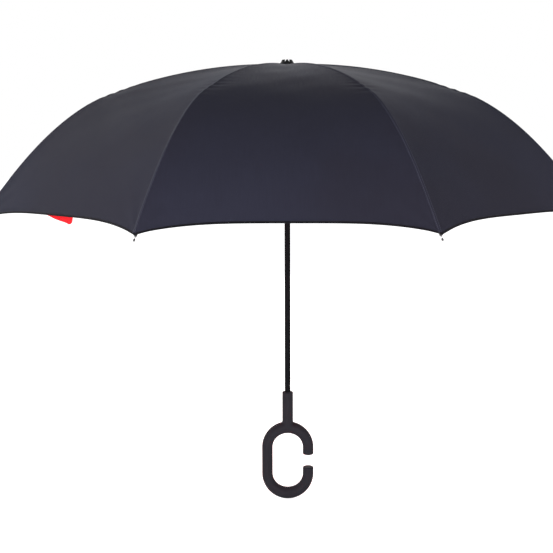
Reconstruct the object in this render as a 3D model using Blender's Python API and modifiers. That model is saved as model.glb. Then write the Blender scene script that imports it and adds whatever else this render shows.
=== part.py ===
import bpy
import bmesh
from math import atan2, cos, degrees, hypot, pi, radians, sin, tan
from mathutils import Matrix, Vector

# Reverse-folding umbrella with two fabric layers, shown open and upright.
# Origin: on the shaft's axis at the middle of the handle's stem. +Z up, mouth of the handle to +X.

# Counts
RIB_COUNT = 8
FIRST_RIB_ANGLE = pi / RIB_COUNT
RIB_STEP = 2 * pi / RIB_COUNT

# Clearances that every fit below uses
GAP = 0.0003
OVERRUN = 0.002
WELD = 0.00001

# Fineness of round shapes
SHARP_ANGLE = radians(35.0)
TURNED_SIDES = 24
STEM_SIDES = 20
FERRULE_SIDES = 8
PIN_SIDES = 8
WIRE_SIDES = 6
GRIP_BEVEL_STEPS = 4
ROD_BEVEL_STEPS = 1
BAR_STEPS = 5
ROUND_STEPS = 4
PATH_FINE_STEPS = 8

# Shaft
SHAFT_RADIUS = 0.0053
SHAFT_BORE_RADIUS = 0.0043
SHAFT_PROUD = 0.0032
SHAFT_SEAT = 0.0024

# Handle: a stem and a C that a forearm hooks through
STEM_RADIUS = 0.0097
STEM_TOP_Z = 0.0302
STEM_CHAMFER = 0.0016
GRIP_TOP_Z = -0.0301
GRIP_HEIGHT = 0.1486
GRIP_TUBE_RADIUS = 0.0096
GRIP_BEND_RADIUS = 0.03805
GRIP_CREST_RADIUS = 0.011
MOUTH_DROP = 0.0636
MOUTH_HEIGHT = 0.0221
MOUTH_ROUNDING = 0.0028
MOUTH_END_SHARE = 0.7
GRIP_ARC_STEPS = 10

# Fold geometry in the plane of one rib
PIVOT_CIRCLE_RADIUS = 0.011
JOINT_RADIUS = 0.2825
JOINT_DROP = 0.041
CLOSED_CLEARANCE = 0.0034
ARM_BOW = 0.0105
ROD_LENGTH = 0.337
ROD_ROOT_SLOPE = radians(14.0)
ROD_TIP_SLOPE = radians(53.0)
SPLIT_SHARE = 0.25
CLOSED_ANGLE = radians(5.0)

# Crown, its pivot wire and its cap
CROWN_RADIUS = 0.0145
CROWN_HUB_RADIUS = 0.0076
CROWN_FLANGE_RISE = 0.0045
CROWN_FLANGE_DROP = 0.003
CROWN_HUB_DROP = 0.014
CROWN_SLOT_WIDTH = 0.0034
CROWN_SLOT_RADIUS = 0.0083
WIRE_RADIUS = 0.0007
CAP_BASE_RADIUS = 0.0128
CAP_TOP_RADIUS = 0.0108
CAP_HEIGHT = 0.0079
CAP_SKIRT = 0.0022
CAP_TOOTH_COUNT = 8
CAP_NOTCH_WIDTH = 0.003
CAP_NOTCH_DEPTH = 0.0036
CAP_NOTCH_RADIUS = 0.0088
STUD_LENGTH = 0.014

# Runner that slides on the shaft
RUNNER_SLEEVE_RADIUS = 0.008
RUNNER_BORE_RADIUS = 0.0057
RUNNER_FLANGE_RISE = 0.004
RUNNER_FLANGE_DROP = 0.0045
RUNNER_DROP = 0.038
RUNNER_COLLAR_RADIUS = 0.0084
RUNNER_COLLAR_HEIGHT = 0.003
RUNNER_SLOT_WIDTH = 0.004
RUNNER_SLOT_RADIUS = 0.0086
TRUNNION_GROOVE_WIDTH = 0.0066
TRUNNION_GROOVE_HALF_DEPTH = 0.0015
WINDOW_DROP = 0.0295
WINDOW_WIDTH = 0.0034
WINDOW_HEIGHT = 0.0092

# Upper arms: channels open at the top, with an eye at the crown and two ears at the joint
ARM_WIDTH = 0.0056
ARM_WALL = 0.0007
ARM_HALF_HEIGHT = 0.0024
ARM_EYE_RADIUS = 0.00105
ARM_EYE_WIDTH = 0.0026
ARM_EYE_LENGTH = 0.0065
ARM_CHANNEL_START = 0.009
ARM_EAR_LENGTH = 0.026
RIVET_RADIUS = 0.0008
RIVET_HEAD = 0.0004

# Main ribs: from the joint down to the runner
RIB_WIDTH = 0.0034
RIB_HALF_HEIGHT = 0.0018
RIB_WALL = 0.0007
RIB_LUG_WIDTH = 0.0014
RIB_LUG_LENGTH = 0.0038
RIB_CHANNEL_MARGIN = 0.012
RIB_FOOT_WIDTH = 0.0026
RIB_FOOT_LENGTH = 0.007
TRUNNION_RADIUS = 0.001
TRUNNION_LENGTH = 0.0058

# Flexible rods: an inner length with a fork at the joint and an outer length that ends in the tip
FORK_WIDTH = 0.0036
FORK_SLOT_WIDTH = 0.002
FORK_HALF_HEIGHT = 0.0021
FORK_LENGTH = 0.0095
FORK_SLOT_LENGTH = 0.0055
FERRULE_RADIUS = 0.0018
FERRULE_LENGTH = 0.007
ROD_RADIUS = 0.0015
ROD_LUG_WIDTH = 0.0012
ROD_LUG_LENGTH = 0.0045
ROD_STEPS = 4
OUTER_FORK_WIDTH = 0.0034
OUTER_FORK_SLOT_WIDTH = 0.0018
OUTER_FORK_HALF_HEIGHT = 0.0019
OUTER_FORK_LENGTH = 0.009
OUTER_FORK_SLOT_LENGTH = 0.0042
OUTER_PIN_RADIUS = 0.0005
OUTER_FERRULE_RADIUS = 0.0017
OUTER_ROD_RADIUS = 0.0013
OUTER_ROD_STEPS = 8
TIP_LENGTH = 0.014
TIP_REACH = 0.006
TIP_RADIUS = 0.0022
TIP_NOSE_RADIUS = 0.0014

# Fabric: gores between neighbouring ribs
FABRIC_THICKNESS = 0.0008
OUTER_LIFT = 0.0036
INNER_DROP = 0.0028
CLAMP_RADIUS = 0.0075
FABRIC_SEAT = 0.0005
OUTER_BOW = 0.0105
INNER_OPENING_RADIUS = 0.085
HEM_ARCH = 0.019
HEM_POWER = 3.5
SEAM_GAP = 0.0002
CROWN_ZONE_STEPS = 5
ROD_ZONE_STEPS = 8
GORE_STEPS_ACROSS = 4

# Spring catches in the shaft
CATCH_WIDTH = 0.0024
CATCH_LEAF_THICKNESS = 0.0006
CATCH_LEAF_RADIUS = 0.0034
CATCH_LENGTH = 0.028
CATCH_FOOT_HEIGHT = 0.003
CATCH_NOSE_RADIUS = 0.0082
CATCH_NOSE_HALF_HEIGHT = 0.0038
CATCH_NOSE_FLAT = 0.0016
CATCH_SLOT_WIDTH = 0.0032

# Tie strap: sewn along the inner layer's hem, its free end drooping
STRAP_PANEL_ANGLE = radians(225.0)
STRAP_WIDTH = 0.026
STRAP_THICKNESS = 0.001
STRAP_LENGTH = 0.165
STRAP_END_ALONG = 0.0226
STRAP_HEM_INSET = 0.0082
STRAP_DROOP = 0.0166
STRAP_CLEARANCE = 0.0005
STRAP_ROUNDING = 0.006
STRAP_ROUNDING_POWER = 8
STRAP_STEPS = 8
STRAP_DROOP_POWER = 1.3

# Worked out from the sizes above
ARM_LENGTH = hypot(JOINT_RADIUS - PIVOT_CIRCLE_RADIUS, JOINT_DROP)
ARM_SLOPE = atan2(JOINT_DROP, JOINT_RADIUS - PIVOT_CIRCLE_RADIUS)
OPEN_ANGLE = pi / 2 - ARM_SLOPE
CLOSED_PIVOT_Z = STEM_TOP_Z + CLOSED_CLEARANCE + RUNNER_DROP
CROWN_PIVOT_Z = CLOSED_PIVOT_Z + 2 * ARM_LENGTH * cos(CLOSED_ANGLE)
JOINT_Z = CROWN_PIVOT_Z - JOINT_DROP
RUNNER_PIVOT_Z = JOINT_Z - JOINT_DROP
RUNNER_TRAVEL = RUNNER_PIVOT_Z - CLOSED_PIVOT_Z
FABRIC_TOP_Z = CROWN_PIVOT_Z + CROWN_FLANGE_RISE + FABRIC_SEAT
CAP_BASE_Z = FABRIC_TOP_Z + FABRIC_THICKNESS + GAP
CAP_TOP_Z = CAP_BASE_Z + CAP_HEIGHT
SHAFT_TOP_Z = CROWN_PIVOT_Z + SHAFT_PROUD
SHAFT_BOTTOM_Z = GRIP_TOP_Z + SHAFT_SEAT
GRIP_BOTTOM_Z = GRIP_TOP_Z - GRIP_HEIGHT
MOUTH_TOP_Z = GRIP_TOP_Z - MOUTH_DROP
MOUTH_BOTTOM_Z = MOUTH_TOP_Z - MOUTH_HEIGHT
UPPER_CATCH_Z = RUNNER_PIVOT_Z - WINDOW_DROP
LOWER_CATCH_Z = CLOSED_PIVOT_Z - WINDOW_DROP


def clear_scene():
    for item in list(bpy.data.objects):
        bpy.data.objects.remove(item, do_unlink=True)


def new_collection(name):
    collection = bpy.data.collections.new(name)
    bpy.context.scene.collection.children.link(collection)
    return collection


clear_scene()
UMBRELLA = new_collection("umbrella")
CUTTERS = new_collection("cutters")


def material(name, color, roughness, metallic=0.0):
    made = bpy.data.materials.new(name)
    made.use_nodes = True
    shader = made.node_tree.nodes["Principled BSDF"]
    shader.inputs["Base Color"].default_value = (*color, 1.0)
    shader.inputs["Roughness"].default_value = roughness
    shader.inputs["Metallic"].default_value = metallic
    return made


# Mesh helpers


def tidy(mesh):
    """Weld the seams of a mesh and point its faces outwards."""
    work = bmesh.new()
    work.from_mesh(mesh)
    bmesh.ops.remove_doubles(work, verts=work.verts, dist=WELD)
    bmesh.ops.recalc_face_normals(work, faces=work.faces)
    work.to_mesh(mesh)
    work.free()
    mesh.shade_smooth()
    mesh.set_sharp_from_angle(angle=SHARP_ANGLE)
    return mesh


def take_mesh(item):
    """The evaluated mesh of an object, in world space; the object is removed."""
    bpy.context.view_layer.update()
    graph = bpy.context.evaluated_depsgraph_get()
    mesh = bpy.data.meshes.new_from_object(item.evaluated_get(graph))
    mesh.transform(item.matrix_world)
    bpy.data.objects.remove(item, do_unlink=True)
    return tidy(mesh)


def place(name, mesh, made_of, location=(0, 0, 0), rotation=(0, 0, 0)):
    item = bpy.data.objects.new(name, mesh)
    item.location = location
    item.rotation_euler = rotation
    UMBRELLA.objects.link(item)
    if made_of.name not in mesh.materials:
        mesh.materials.append(made_of)
    return item


def guide(name, mesh, location=(0, 0, 0), rotation=(0, 0, 0)):
    """A cutter or a piece to be joined, kept out of the model."""
    item = bpy.data.objects.new(name, mesh)
    item.location = location
    item.rotation_euler = rotation
    item.hide_render = True
    item.display_type = "WIRE"
    CUTTERS.objects.link(item)
    return item


def shape(item, tool, operation):
    modifier = item.modifiers.new(tool.name, "BOOLEAN")
    modifier.operation = operation
    modifier.solver = "EXACT"
    modifier.object = tool


def pattern(name, base, cuts=(), joins=()):
    """One mesh made of a base, the pieces joined to it and what is cut from it, for parts that repeat."""
    item = guide(name, base)
    tools = []
    for number, mesh in enumerate(joins):
        tools.append(guide(f"{name}_join_{number}", mesh))
        shape(item, tools[-1], "UNION")
    for number, mesh in enumerate(cuts):
        tools.append(guide(f"{name}_cut_{number}", mesh))
        shape(item, tools[-1], "DIFFERENCE")
    mesh = take_mesh(item)
    for tool in tools:
        bpy.data.objects.remove(tool, do_unlink=True)
    mesh.name = name
    return mesh


def box(low, high):
    work = bmesh.new()
    size = Vector(high) - Vector(low)
    centre = (Vector(high) + Vector(low)) / 2
    bmesh.ops.create_cube(work, size=1.0, matrix=Matrix.LocRotScale(centre, None, size))
    mesh = bpy.data.meshes.new("box")
    work.to_mesh(mesh)
    work.free()
    return mesh


def cylinder(radius, length, axis, centre, sides):
    """A cylinder about its centre, along the axis named by a letter."""
    turn = {"X": Matrix.Rotation(pi / 2, 4, "Y"), "Y": Matrix.Rotation(pi / 2, 4, "X"), "Z": Matrix()}
    work = bmesh.new()
    bmesh.ops.create_cone(
        work, cap_ends=True, segments=sides, radius1=radius, radius2=radius, depth=length,
        matrix=Matrix.Translation(centre) @ turn[axis[0]],
    )
    mesh = bpy.data.meshes.new("cylinder")
    work.to_mesh(mesh)
    work.free()
    return mesh


def turned(profile, sides):
    """A profile of (radius, height) points, from the top down its outer side, turned about Z."""
    mesh = bpy.data.meshes.new("turned")
    count = len(profile)
    closed = min(radius for radius, height in profile) > 0
    edges = [(i, i + 1) for i in range(count - 1)]
    if closed:
        edges.append((count - 1, 0))
    mesh.from_pydata([(radius, 0, height) for radius, height in profile], edges, [])
    item = guide("turned", mesh)
    screw = item.modifiers.new("turn", "SCREW")
    screw.axis = "Z"
    screw.steps = sides
    screw.render_steps = sides
    screw.use_merge_vertices = True
    screw.merge_threshold = WELD
    return take_mesh(item)


def plate(outlines, thickness):
    """Outlines of (x, z) points, the first the edge and the rest holes, as a plate centred on y = 0."""
    data = bpy.data.curves.new("plate", "CURVE")
    data.dimensions = "2D"
    data.fill_mode = "BOTH"
    data.extrude = thickness / 2
    for outline in outlines:
        spline = data.splines.new("POLY")
        spline.points.add(len(outline) - 1)
        for point, (x, z) in zip(spline.points, outline):
            point.co = (x, z, 0, 1)
        spline.use_cyclic_u = True
    return take_mesh(guide("plate", data, rotation=(pi / 2, 0, 0)))


def tube(points, radius, resolution, shares=None):
    """A round tube along 3D points; shares scale its radius from point to point."""
    data = bpy.data.curves.new("tube", "CURVE")
    data.dimensions = "3D"
    data.bevel_depth = radius
    data.bevel_resolution = resolution
    data.use_fill_caps = True
    spline = data.splines.new("POLY")
    spline.points.add(len(points) - 1)
    for number, (point, co) in enumerate(zip(spline.points, points)):
        point.co = (*co, 1)
        point.radius = shares[number] if shares else 1.0
    return take_mesh(guide("tube", data))


def circle(radius, steps, centre=(0, 0)):
    turns = [2 * pi * i / steps for i in range(steps)]
    return [(centre[0] + radius * cos(turn), centre[1] + radius * sin(turn)) for turn in turns]


def sweep_outline(points, half_height):
    """The outline of a bar of constant height along (x, z) points, with round ends."""
    steps = len(points)
    headings = []
    for i in range(steps):
        before = points[max(i - 1, 0)]
        after = points[min(i + 1, steps - 1)]
        headings.append(atan2(after[1] - before[1], after[0] - before[0]))
    turns = [pi * i / ROUND_STEPS for i in range(1, ROUND_STEPS)]
    outline = [side_point(points[i], headings[i] - pi / 2, half_height) for i in range(steps)]
    outline += [side_point(points[-1], headings[-1] - pi / 2 + turn, half_height) for turn in turns]
    outline += [side_point(points[i], headings[i] + pi / 2, half_height) for i in reversed(range(steps))]
    outline += [side_point(points[0], headings[0] + pi / 2 + turn, half_height) for turn in turns]
    return outline


def side_point(point, heading, distance):
    return (point[0] + distance * cos(heading), point[1] + distance * sin(heading))


# Geometry of the fold


def rib_angle(number):
    return FIRST_RIB_ANGLE + number * RIB_STEP


def on_rib(number, radius, z):
    angle = rib_angle(number)
    return (radius * cos(angle), radius * sin(angle), z)


def rod_slope(share):
    """Slope of the bent rod below level, like a cantilever that is loaded at its tip."""
    return ROD_ROOT_SLOPE + (ROD_TIP_SLOPE - ROD_ROOT_SLOPE) * (2 * share - share * share)


def rod_path(start, end, steps, turn=0.0):
    """Points (outwards, up) along the rod from one share to another, turned up by an angle, from (0, 0)."""
    points = [(0.0, 0.0)]
    outwards, up = 0.0, 0.0
    piece = (end - start) / (steps * PATH_FINE_STEPS)
    for i in range(steps * PATH_FINE_STEPS):
        slope = rod_slope(start + (i + 0.5) * piece) - turn
        outwards += cos(slope) * piece * ROD_LENGTH
        up -= sin(slope) * piece * ROD_LENGTH
        if (i + 1) % PATH_FINE_STEPS == 0:
            points.append((outwards, up))
    return points


SPLIT_OFFSET = rod_path(0, SPLIT_SHARE, ROD_STEPS)[-1]
SPLIT_RADIUS = JOINT_RADIUS + SPLIT_OFFSET[0]
SPLIT_Z = JOINT_Z + SPLIT_OFFSET[1]


def in_plane(points):
    return [(x, 0, z) for x, z in points]


# Handle


def grip_points():
    """The C's centre line from the upper end of its mouth round to the lower end, with its radii as shares."""
    top = GRIP_TOP_Z - GRIP_CREST_RADIUS - GRIP_BEND_RADIUS
    bottom = GRIP_BOTTOM_Z + GRIP_CREST_RADIUS + GRIP_BEND_RADIUS
    crest = GRIP_CREST_RADIUS / GRIP_TUBE_RADIUS - 1
    points = [(GRIP_BEND_RADIUS, MOUTH_TOP_Z), (GRIP_BEND_RADIUS, MOUTH_TOP_Z + MOUTH_ROUNDING)]
    shares = [MOUTH_END_SHARE, 1.0]
    for centre, start in ((top, 0), (bottom, pi)):
        for i in range(GRIP_ARC_STEPS + 1):
            turn = start + pi * i / GRIP_ARC_STEPS
            points.append((GRIP_BEND_RADIUS * cos(turn), centre + GRIP_BEND_RADIUS * sin(turn)))
            shares.append(1 + crest * sin(turn) ** 2)
    points += [(GRIP_BEND_RADIUS, MOUTH_BOTTOM_Z - MOUTH_ROUNDING), (GRIP_BEND_RADIUS, MOUTH_BOTTOM_Z)]
    shares += [1.0, MOUTH_END_SHARE]
    return points, shares


def make_handle():
    points, shares = grip_points()
    grip = tube(in_plane(points), GRIP_TUBE_RADIUS, GRIP_BEVEL_STEPS, shares)
    handle = place("handle", grip, material("handle_rubber", (0.035, 0.032, 0.038), 0.6))
    stem = turned(
        [
            (0, STEM_TOP_Z),
            (STEM_RADIUS - STEM_CHAMFER, STEM_TOP_Z),
            (STEM_RADIUS, STEM_TOP_Z - STEM_CHAMFER),
            (STEM_RADIUS, GRIP_TOP_Z - GRIP_TUBE_RADIUS),
            (0, GRIP_TOP_Z - GRIP_TUBE_RADIUS),
        ],
        TURNED_SIDES,
    )
    quarter_side = pi / (2 * TURNED_SIDES)
    shape(handle, guide("handle_stem", stem, rotation=(0, 0, quarter_side)), "UNION")
    bore_bottom = SHAFT_BOTTOM_Z - GAP
    bore_length = STEM_TOP_Z + OVERRUN - bore_bottom
    bore = cylinder(SHAFT_RADIUS + GAP, bore_length, "Z", (0, 0, bore_bottom + bore_length / 2), STEM_SIDES)
    shape(handle, guide("handle_bore", bore), "DIFFERENCE")


# Shaft and its two spring catches


def make_shaft():
    rim = [
        (SHAFT_BORE_RADIUS, SHAFT_TOP_Z),
        (SHAFT_RADIUS, SHAFT_TOP_Z),
        (SHAFT_RADIUS, SHAFT_BOTTOM_Z),
        (SHAFT_BORE_RADIUS, SHAFT_BOTTOM_Z),
    ]
    shaft = place("shaft", turned(rim, STEM_SIDES), material("shaft_steel", (0.03, 0.03, 0.034), 0.4, 0.6))
    for name, centre_z in (("upper", UPPER_CATCH_Z), ("lower", LOWER_CATCH_Z)):
        half = CATCH_NOSE_HALF_HEIGHT + 2 * GAP
        slot = box(
            (0, -CATCH_SLOT_WIDTH / 2, centre_z - half),
            (SHAFT_RADIUS + OVERRUN, CATCH_SLOT_WIDTH / 2, centre_z + half),
        )
        shape(shaft, guide(f"{name}_catch_slot", slot), "DIFFERENCE")


def make_catch(name, centre_z, flat_side):
    """A leaf with a nose: flat on the side that holds the runner, sloped on the side it comes from."""
    inner = CATCH_LEAF_RADIUS - CATCH_LEAF_THICKNESS
    nose = CATCH_NOSE_HALF_HEIGHT
    root = -CATCH_LENGTH
    slope_side = -flat_side
    face = [
        (CATCH_LEAF_RADIUS, slope_side * nose),
        (CATCH_NOSE_RADIUS, flat_side * (nose - CATCH_NOSE_FLAT)),
        (CATCH_NOSE_RADIUS, flat_side * nose),
        (CATCH_LEAF_RADIUS, flat_side * nose),
    ]
    if flat_side < 0:
        face.reverse()
    outline = [
        (-CATCH_LEAF_RADIUS, root - CATCH_FOOT_HEIGHT / 2),
        (CATCH_LEAF_RADIUS, root - CATCH_FOOT_HEIGHT / 2),
        *face,
        (inner, nose),
        (inner, root + CATCH_FOOT_HEIGHT / 2),
        (-CATCH_LEAF_RADIUS, root + CATCH_FOOT_HEIGHT / 2),
    ]
    mesh = plate([outline], CATCH_WIDTH)
    mesh.transform(Matrix.Translation((0, 0, CATCH_LENGTH)))
    steel = material(f"{name}_steel", (0.45, 0.45, 0.46), 0.35, 0.9)
    place(name, mesh, steel, location=(0, 0, centre_z - CATCH_LENGTH))


# Crown


def ring_of_boxes(base_name, inner, outer, width, low, high, count, first=0.0, location=(0, 0, 0)):
    made = []
    for number in range(count):
        turn = first + 2 * pi * number / count
        mesh = box((inner, -width / 2, low), (outer, width / 2, high))
        made.append(guide(f"{base_name}_{number + 1}", mesh, location, (0, 0, turn)))
    return made


def torus(major, minor, around, across):
    profile = [(major + x, z) for x, z in circle(minor, across)]
    profile.reverse()
    return turned(profile, around)


def make_crown():
    plastic = material("crown_plastic", (0.02, 0.02, 0.022), 0.5)
    body = turned(
        [
            (SHAFT_RADIUS + GAP, CROWN_FLANGE_RISE),
            (CROWN_RADIUS, CROWN_FLANGE_RISE),
            (CROWN_RADIUS, -CROWN_FLANGE_DROP),
            (CROWN_HUB_RADIUS, -CROWN_FLANGE_DROP),
            (CROWN_HUB_RADIUS, -CROWN_HUB_DROP),
            (SHAFT_RADIUS + GAP, -CROWN_HUB_DROP),
        ],
        TURNED_SIDES,
    )
    centre = (0, 0, CROWN_PIVOT_Z)
    crown = place("crown", body, plastic, location=centre)
    slots = ring_of_boxes(
        "crown_slot", CROWN_SLOT_RADIUS, CROWN_RADIUS + OVERRUN, CROWN_SLOT_WIDTH,
        -CROWN_FLANGE_DROP - OVERRUN, CROWN_FLANGE_RISE + OVERRUN, RIB_COUNT, FIRST_RIB_ANGLE, centre,
    )
    for slot in slots:
        shape(crown, slot, "DIFFERENCE")
    groove = guide("wire_groove", torus(PIVOT_CIRCLE_RADIUS, WIRE_RADIUS + GAP, TURNED_SIDES, WIRE_SIDES), centre)
    shape(crown, groove, "DIFFERENCE")
    wire = material("wire_steel", (0.6, 0.6, 0.62), 0.25, 1.0)
    place("crown_wire", torus(PIVOT_CIRCLE_RADIUS, WIRE_RADIUS, TURNED_SIDES, WIRE_SIDES), wire, location=centre)


def make_crown_cap():
    stud = SHAFT_BORE_RADIUS - GAP
    chamfer = (CAP_BASE_RADIUS - CAP_TOP_RADIUS) / 4
    body = turned(
        [
            (0, CAP_TOP_Z),
            (CAP_TOP_RADIUS - chamfer, CAP_TOP_Z),
            (CAP_TOP_RADIUS, CAP_TOP_Z - chamfer),
            (CAP_BASE_RADIUS, CAP_BASE_Z + CAP_SKIRT),
            (CAP_BASE_RADIUS, CAP_BASE_Z),
            (stud, CAP_BASE_Z),
            (stud, CAP_BASE_Z - STUD_LENGTH),
            (0, CAP_BASE_Z - STUD_LENGTH),
        ],
        TURNED_SIDES,
    )
    cap = place("crown_cap", body, material("cap_plastic", (0.02, 0.02, 0.022), 0.45))
    notches = ring_of_boxes(
        "cap_notch", CAP_NOTCH_RADIUS, CAP_BASE_RADIUS + OVERRUN, CAP_NOTCH_WIDTH,
        CAP_TOP_Z - CAP_NOTCH_DEPTH, CAP_TOP_Z + OVERRUN, CAP_TOOTH_COUNT,
    )
    for notch in notches:
        shape(cap, notch, "DIFFERENCE")


# Runner


def make_runner():
    body = turned(
        [
            (RUNNER_BORE_RADIUS, RUNNER_FLANGE_RISE),
            (CROWN_RADIUS, RUNNER_FLANGE_RISE),
            (CROWN_RADIUS, -RUNNER_FLANGE_DROP),
            (RUNNER_SLEEVE_RADIUS, -RUNNER_FLANGE_DROP),
            (RUNNER_SLEEVE_RADIUS, RUNNER_COLLAR_HEIGHT - RUNNER_DROP),
            (RUNNER_COLLAR_RADIUS, RUNNER_COLLAR_HEIGHT - RUNNER_DROP),
            (RUNNER_COLLAR_RADIUS, -RUNNER_DROP),
            (RUNNER_BORE_RADIUS, -RUNNER_DROP),
        ],
        TURNED_SIDES,
    )
    centre = (0, 0, RUNNER_PIVOT_Z)
    runner = place("runner", body, material("runner_plastic", (0.02, 0.02, 0.022), 0.5), location=centre)
    low = -RUNNER_FLANGE_DROP - OVERRUN
    high = RUNNER_FLANGE_RISE + OVERRUN
    cuts = ring_of_boxes(
        "runner_slot", RUNNER_SLOT_RADIUS, CROWN_RADIUS + OVERRUN, RUNNER_SLOT_WIDTH,
        low, high, RIB_COUNT, FIRST_RIB_ANGLE, centre,
    )
    cuts += ring_of_boxes(
        "trunnion_groove", PIVOT_CIRCLE_RADIUS - TRUNNION_GROOVE_HALF_DEPTH,
        PIVOT_CIRCLE_RADIUS + TRUNNION_GROOVE_HALF_DEPTH, TRUNNION_GROOVE_WIDTH,
        low, high, RIB_COUNT, FIRST_RIB_ANGLE, centre,
    )
    half = WINDOW_HEIGHT / 2
    window = box(
        (0, -WINDOW_WIDTH / 2, -WINDOW_DROP - half),
        (CROWN_RADIUS, WINDOW_WIDTH / 2, -WINDOW_DROP + half),
    )
    cuts.append(guide("catch_window", window, centre))
    for cutter in cuts:
        shape(runner, cutter, "DIFFERENCE")


# Arms, ribs and rods, each built once along its own X axis


def side_cuts(start, end, width, reach):
    """Two boxes that thin a bar to a width between two places along it."""
    return [
        box((start, width / 2, -reach), (end, reach, reach)),
        box((start, -reach, -reach), (end, -width / 2, reach)),
    ]


def arm_mesh():
    """From the crown pivot at the origin to the joint, bowed upwards."""
    def on_bow(share):
        return (ARM_LENGTH * share, 4 * ARM_BOW * share * (1 - share))

    line = [on_bow(i / BAR_STEPS) for i in range(BAR_STEPS + 1)]
    outline = sweep_outline(line, ARM_HALF_HEIGHT)
    bar = plate([outline, circle(ARM_EYE_RADIUS, PIN_SIDES)], ARM_WIDTH)
    ear_start = ARM_LENGTH - ARM_EAR_LENGTH
    reach = ARM_HALF_HEIGHT + OVERRUN
    first = ARM_CHANNEL_START / ARM_LENGTH
    last = ear_start / ARM_LENGTH
    floor = [on_bow(first + (last - first) * i / BAR_STEPS) for i in range(BAR_STEPS + 1)]
    web = ARM_WALL - ARM_HALF_HEIGHT
    channel = [(x, z + web) for x, z in floor]
    channel += [(ear_start, floor[-1][1] - reach), (ARM_LENGTH + reach, -reach), (ARM_LENGTH + reach, reach)]
    channel += [(x, z + reach) for x, z in reversed(floor)]
    inside = plate([channel], ARM_WIDTH - 2 * ARM_WALL)
    rivet = cylinder(RIVET_RADIUS, ARM_WIDTH + 2 * RIVET_HEAD, "Y", (ARM_LENGTH, 0, 0), PIN_SIDES)
    eye_cuts = side_cuts(-reach, ARM_EYE_LENGTH, ARM_EYE_WIDTH, ARM_WIDTH)
    hollow = pattern("arm_hollow", bar, cuts=[inside, *eye_cuts])
    return pattern("arm", hollow, joins=[rivet])


def rib_mesh():
    """From the joint at the origin to the runner pivot, with cross pins at that end."""
    outline = sweep_outline([(0, 0), (ARM_LENGTH, 0)], RIB_HALF_HEIGHT)
    bar = plate([outline, circle(RIVET_RADIUS + GAP, PIN_SIDES)], RIB_WIDTH)
    channel = box(
        (RIB_CHANNEL_MARGIN, RIB_WALL - RIB_WIDTH / 2, -RIB_HALF_HEIGHT - OVERRUN),
        (ARM_LENGTH - RIB_CHANNEL_MARGIN, RIB_WIDTH / 2 - RIB_WALL, RIB_HALF_HEIGHT - RIB_WALL),
    )
    cuts = [channel]
    cuts += side_cuts(-RIB_LUG_LENGTH, RIB_LUG_LENGTH, RIB_LUG_WIDTH, RIB_WIDTH)
    foot = ARM_LENGTH - RIB_FOOT_LENGTH
    cuts += side_cuts(foot, ARM_LENGTH + RIB_FOOT_LENGTH, RIB_FOOT_WIDTH, RIB_WIDTH)
    thinned = pattern("rib_thinned", bar, cuts=cuts)
    pins = cylinder(TRUNNION_RADIUS, TRUNNION_LENGTH, "Y", (ARM_LENGTH, 0, 0), PIN_SIDES)
    return pattern("rib", thinned, joins=[pins])


def fork_mesh(half_height, length, width, slot_width, slot_length, hole_radius):
    """Two cheeks with a round end at the origin that close into a block."""
    outline = sweep_outline([(0, 0), (length - half_height, 0)], half_height)
    loops = [outline, circle(hole_radius, PIN_SIDES)] if hole_radius else [outline]
    reach = half_height + OVERRUN
    slot = box((-reach, -slot_width / 2, -reach), (slot_length, slot_width / 2, reach))
    return pattern("fork", plate(loops, width), cuts=[slot])


def rod_mesh():
    """From the joint at the origin out to the split: fork, ferrule, bent rod and a lug with a hole."""
    line = rod_path(0, SPLIT_SHARE, ROD_STEPS, ROD_ROOT_SLOPE)
    end = line[-1]
    heading = ROD_ROOT_SLOPE - rod_slope(SPLIT_SHARE)
    stop = (end[0] - ROD_LUG_LENGTH * cos(heading), end[1] - ROD_LUG_LENGTH * sin(heading))
    start = FORK_LENGTH - FORK_HALF_HEIGHT
    rod = tube(in_plane([(start, 0), *line[1:-1], stop]), ROD_RADIUS, ROD_BEVEL_STEPS)
    fork = fork_mesh(
        FORK_HALF_HEIGHT, FORK_LENGTH, FORK_WIDTH, FORK_SLOT_WIDTH, FORK_SLOT_LENGTH, RIVET_RADIUS + GAP
    )
    ferrule = cylinder(FERRULE_RADIUS, FERRULE_LENGTH, "X", (start + FERRULE_LENGTH / 2, 0, 0), FERRULE_SIDES)
    inward = (stop[0] - ROD_LUG_LENGTH * cos(heading), stop[1] - ROD_LUG_LENGTH * sin(heading))
    outline = sweep_outline([inward, end], OUTER_FORK_HALF_HEIGHT - GAP)
    lug = plate([outline, circle(OUTER_PIN_RADIUS + GAP, PIN_SIDES, end)], ROD_LUG_WIDTH)
    return pattern("rod", rod, joins=[fork, ferrule, lug])


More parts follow.
